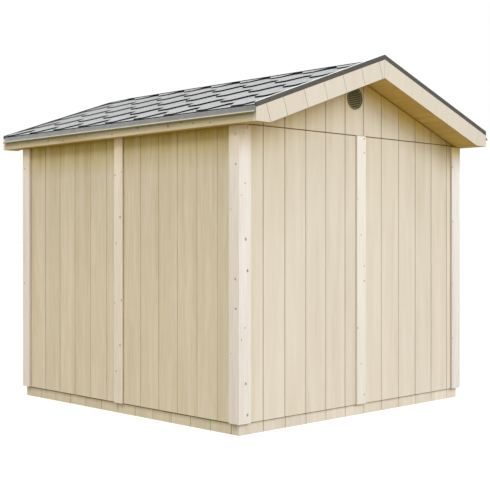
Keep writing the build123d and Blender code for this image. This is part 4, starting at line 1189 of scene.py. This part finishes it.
# ------------------------------------------------------------------ round vents
def vent(name, node, place, cu):
    """Round grille: a rounded rim, sloping slats across it and a dark screen behind."""
    b = Builder()
    proud = 0.010
    out = lambda u, z, w: place(u, z, w - proud)       # w from the rim's face
    rim = VENT_R - 0.0035
    prof = [(rim, proud + 0.0002), (rim, 0.0025), (rim - 0.0025, 0.0), (0.0755, 0.0), (0.0735, 0.0015), (0.0725, proud + 0.006)]
    n = 56
    vs = []
    for i in range(n):
        a = 2 * math.pi * i / n
        vs += [out(cu + r * cos(a), VENT_Z + r * sin(a), w) for r, w in prof]
    m = len(prof)
    fs = []
    for i in range(n):
        for k in range(m):
            fs.append((i * m + k, i * m + (k + 1) % m, ((i + 1) % n) * m + (k + 1) % m, ((i + 1) % n) * m + k))
    b.add(vs, fs, 0, 0.5, 0.0)
    count = 11
    pitch = 2 * 0.0725 / count
    for i in range(count):
        zc = VENT_Z - 0.0725 + pitch * (i + 0.5)
        dz = max(abs(zc - VENT_Z) - pitch * 0.3, 0.0)
        half = math.sqrt(max(0.0727 ** 2 - dz ** 2, 1e-6))
        if half < 0.012:
            continue
        # section of a slat: its outer edge is lower than its inner edge
        sec = [(0.0022, -0.0052), (0.0012, -0.0040), (0.0095, 0.0034), (0.0112, 0.0026)]
        vs = [out(cu - half, zc + z, w) for w, z in sec] + [out(cu + half, zc + z, w) for w, z in sec]
        fs = [(0, 1, 2, 3), (7, 6, 5, 4)] + [(k, (k + 1) % 4, 4 + (k + 1) % 4, 4 + k) for k in range(4)]
        b.add(vs, fs, 0, 0.5, 0.0)
    disc = [(cu + 0.0728 * cos(2 * math.pi * i / 48), VENT_Z + 0.0728 * sin(2 * math.pi * i / 48)) for i in range(48)]
    b.prism(disc, lambda u, z, w: out(u, z, w + 0.0135), 0.0012, mi=1)
    settle(b.make(name, [M_VENT, M_VENT_IN]), "vent_grille", node)


vent("rear_vent_grille", "rear_vent", rear_face(), -VENT_X)
vent("front_vent_grille", "front_vent", front_face(), -VENT_X)

# -------------------------------------------------- finishes of the kept nodes
def finish_node(name, mat):
    me = nodes[name].data
    me.materials.clear()
    me.materials.append(mat)


for nm in ("left_drip_edge", "right_drip_edge"):
    finish_node(nm, M_DRIP)
for nm in ("door_hinges", "door_handle"):
    finish_node(nm, M_BLACK)
for nm in ("left_roof_boards", "right_roof_boards"):
    finish_node(nm, M_ROUGH_Y)
for nm in ("floor_joists", "floor_boards"):
    finish_node(nm, M_ROUGH_X)

# ----------------------------------------------------------- floor, light, camera
floor_me = bpy.data.meshes.new("studio_floor")
R = 300.0
floor_me.from_pydata([(-R, -R, 0), (R, -R, 0), (R, R, 0), (-R, R, 0)], [], [(0, 1, 2, 3)])
floor_ob = bpy.data.objects.new("studio_floor", floor_me)
bpy.context.scene.collection.objects.link(floor_ob)
m, nt, bsdf = new_mat("studio_floor_mat")
bsdf.inputs["Base Color"].default_value = (0.80, 0.80, 0.80, 1)
bsdf.inputs["Roughness"].default_value = 0.9
bsdf.inputs["Specular IOR Level"].default_value = 0.0
bsdf.inputs["Emission Color"].default_value = (1, 1, 1, 1)
bsdf.inputs["Emission Strength"].default_value = 0.42
floor_me.materials.append(m)
floor_ob.visible_diffuse = False
floor_ob.visible_glossy = False

# Studio light: a white dome above, weak warm light from below, and one large soft key.
scene = bpy.context.scene
world = bpy.data.worlds.new("studio")
scene.world = world
world.use_nodes = True
wt = world.node_tree
bg = wt.nodes["Background"]
wtc = wt.nodes.new("ShaderNodeTexCoord")
wsep = wt.nodes.new("ShaderNodeSeparateXYZ")
wt.links.new(wtc.outputs["Generated"], wsep.inputs[0])
wramp = wt.nodes.new("ShaderNodeValToRGB")
wmap = wt.nodes.new("ShaderNodeMapRange")
wmap.inputs["From Min"].default_value = -1.0
wmap.inputs["From Max"].default_value = 1.0
wt.links.new(wsep.outputs["Z"], wmap.inputs["Value"])
wt.links.new(wmap.outputs[0], wramp.inputs[0])
el = wramp.color_ramp.elements
el[0].position, el[0].color = 0.0, (0.32, 0.27, 0.18, 1)
el[1].position, el[1].color = 1.0, (0.72, 0.72, 0.72, 1)
for pos, c in ((0.470, (0.46, 0.42, 0.35)), (0.498, (1.0, 1.0, 1.0)), (0.63, (1.0, 1.0, 1.0)), (0.75, (0.72, 0.72, 0.72))):
    e = el.new(pos)
    e.color = (*c, 1)
wt.links.new(wramp.outputs[0], bg.inputs["Color"])
bg.inputs["Strength"].default_value = 1.0


def area(name, loc, target, size, power, color=(1, 1, 1)):
    li = bpy.data.lights.new(name, "AREA")
    li.shape = "DISK"
    li.size = size
    li.energy = power
    li.color = color
    ob = bpy.data.objects.new(name, li)
    ob.location = loc
    ob.rotation_euler = (Vector(target) - Vector(loc)).to_track_quat("-Z", "Y").to_euler()
    scene.collection.objects.link(ob)
    return ob


area("gable_key", (2.7, -8.8, 5.8), (0, 0, 1.2), 7.0, 500, (0.96, 1.0, 1.07))
area("side_key", (-6.0, -0.8, 8.2), (0, 0, 1.2), 2.6, 255, (1.0, 0.98, 0.92))

cam_d = bpy.data.cameras.new("camera")
cam_d.sensor_fit = "HORIZONTAL"
cam_d.sensor_width = 36.0
cam_d.lens = 36.0 * 1043.05 / 490.0
cam_d.shift_x = -(274.15 - 245.0) / 490.0
cam_d.shift_y = (240.35 - 245.0) / 490.0
cam_d.clip_end = 2000.0
cam = bpy.data.objects.new("camera", cam_d)
cam.location = (-5.6838, -6.0681, 1.2388)
cam.rotation_euler = (radians(90), 0, radians(-45))
scene.collection.objects.link(cam)
scene.camera = cam

scene.view_settings.view_transform = "Standard"
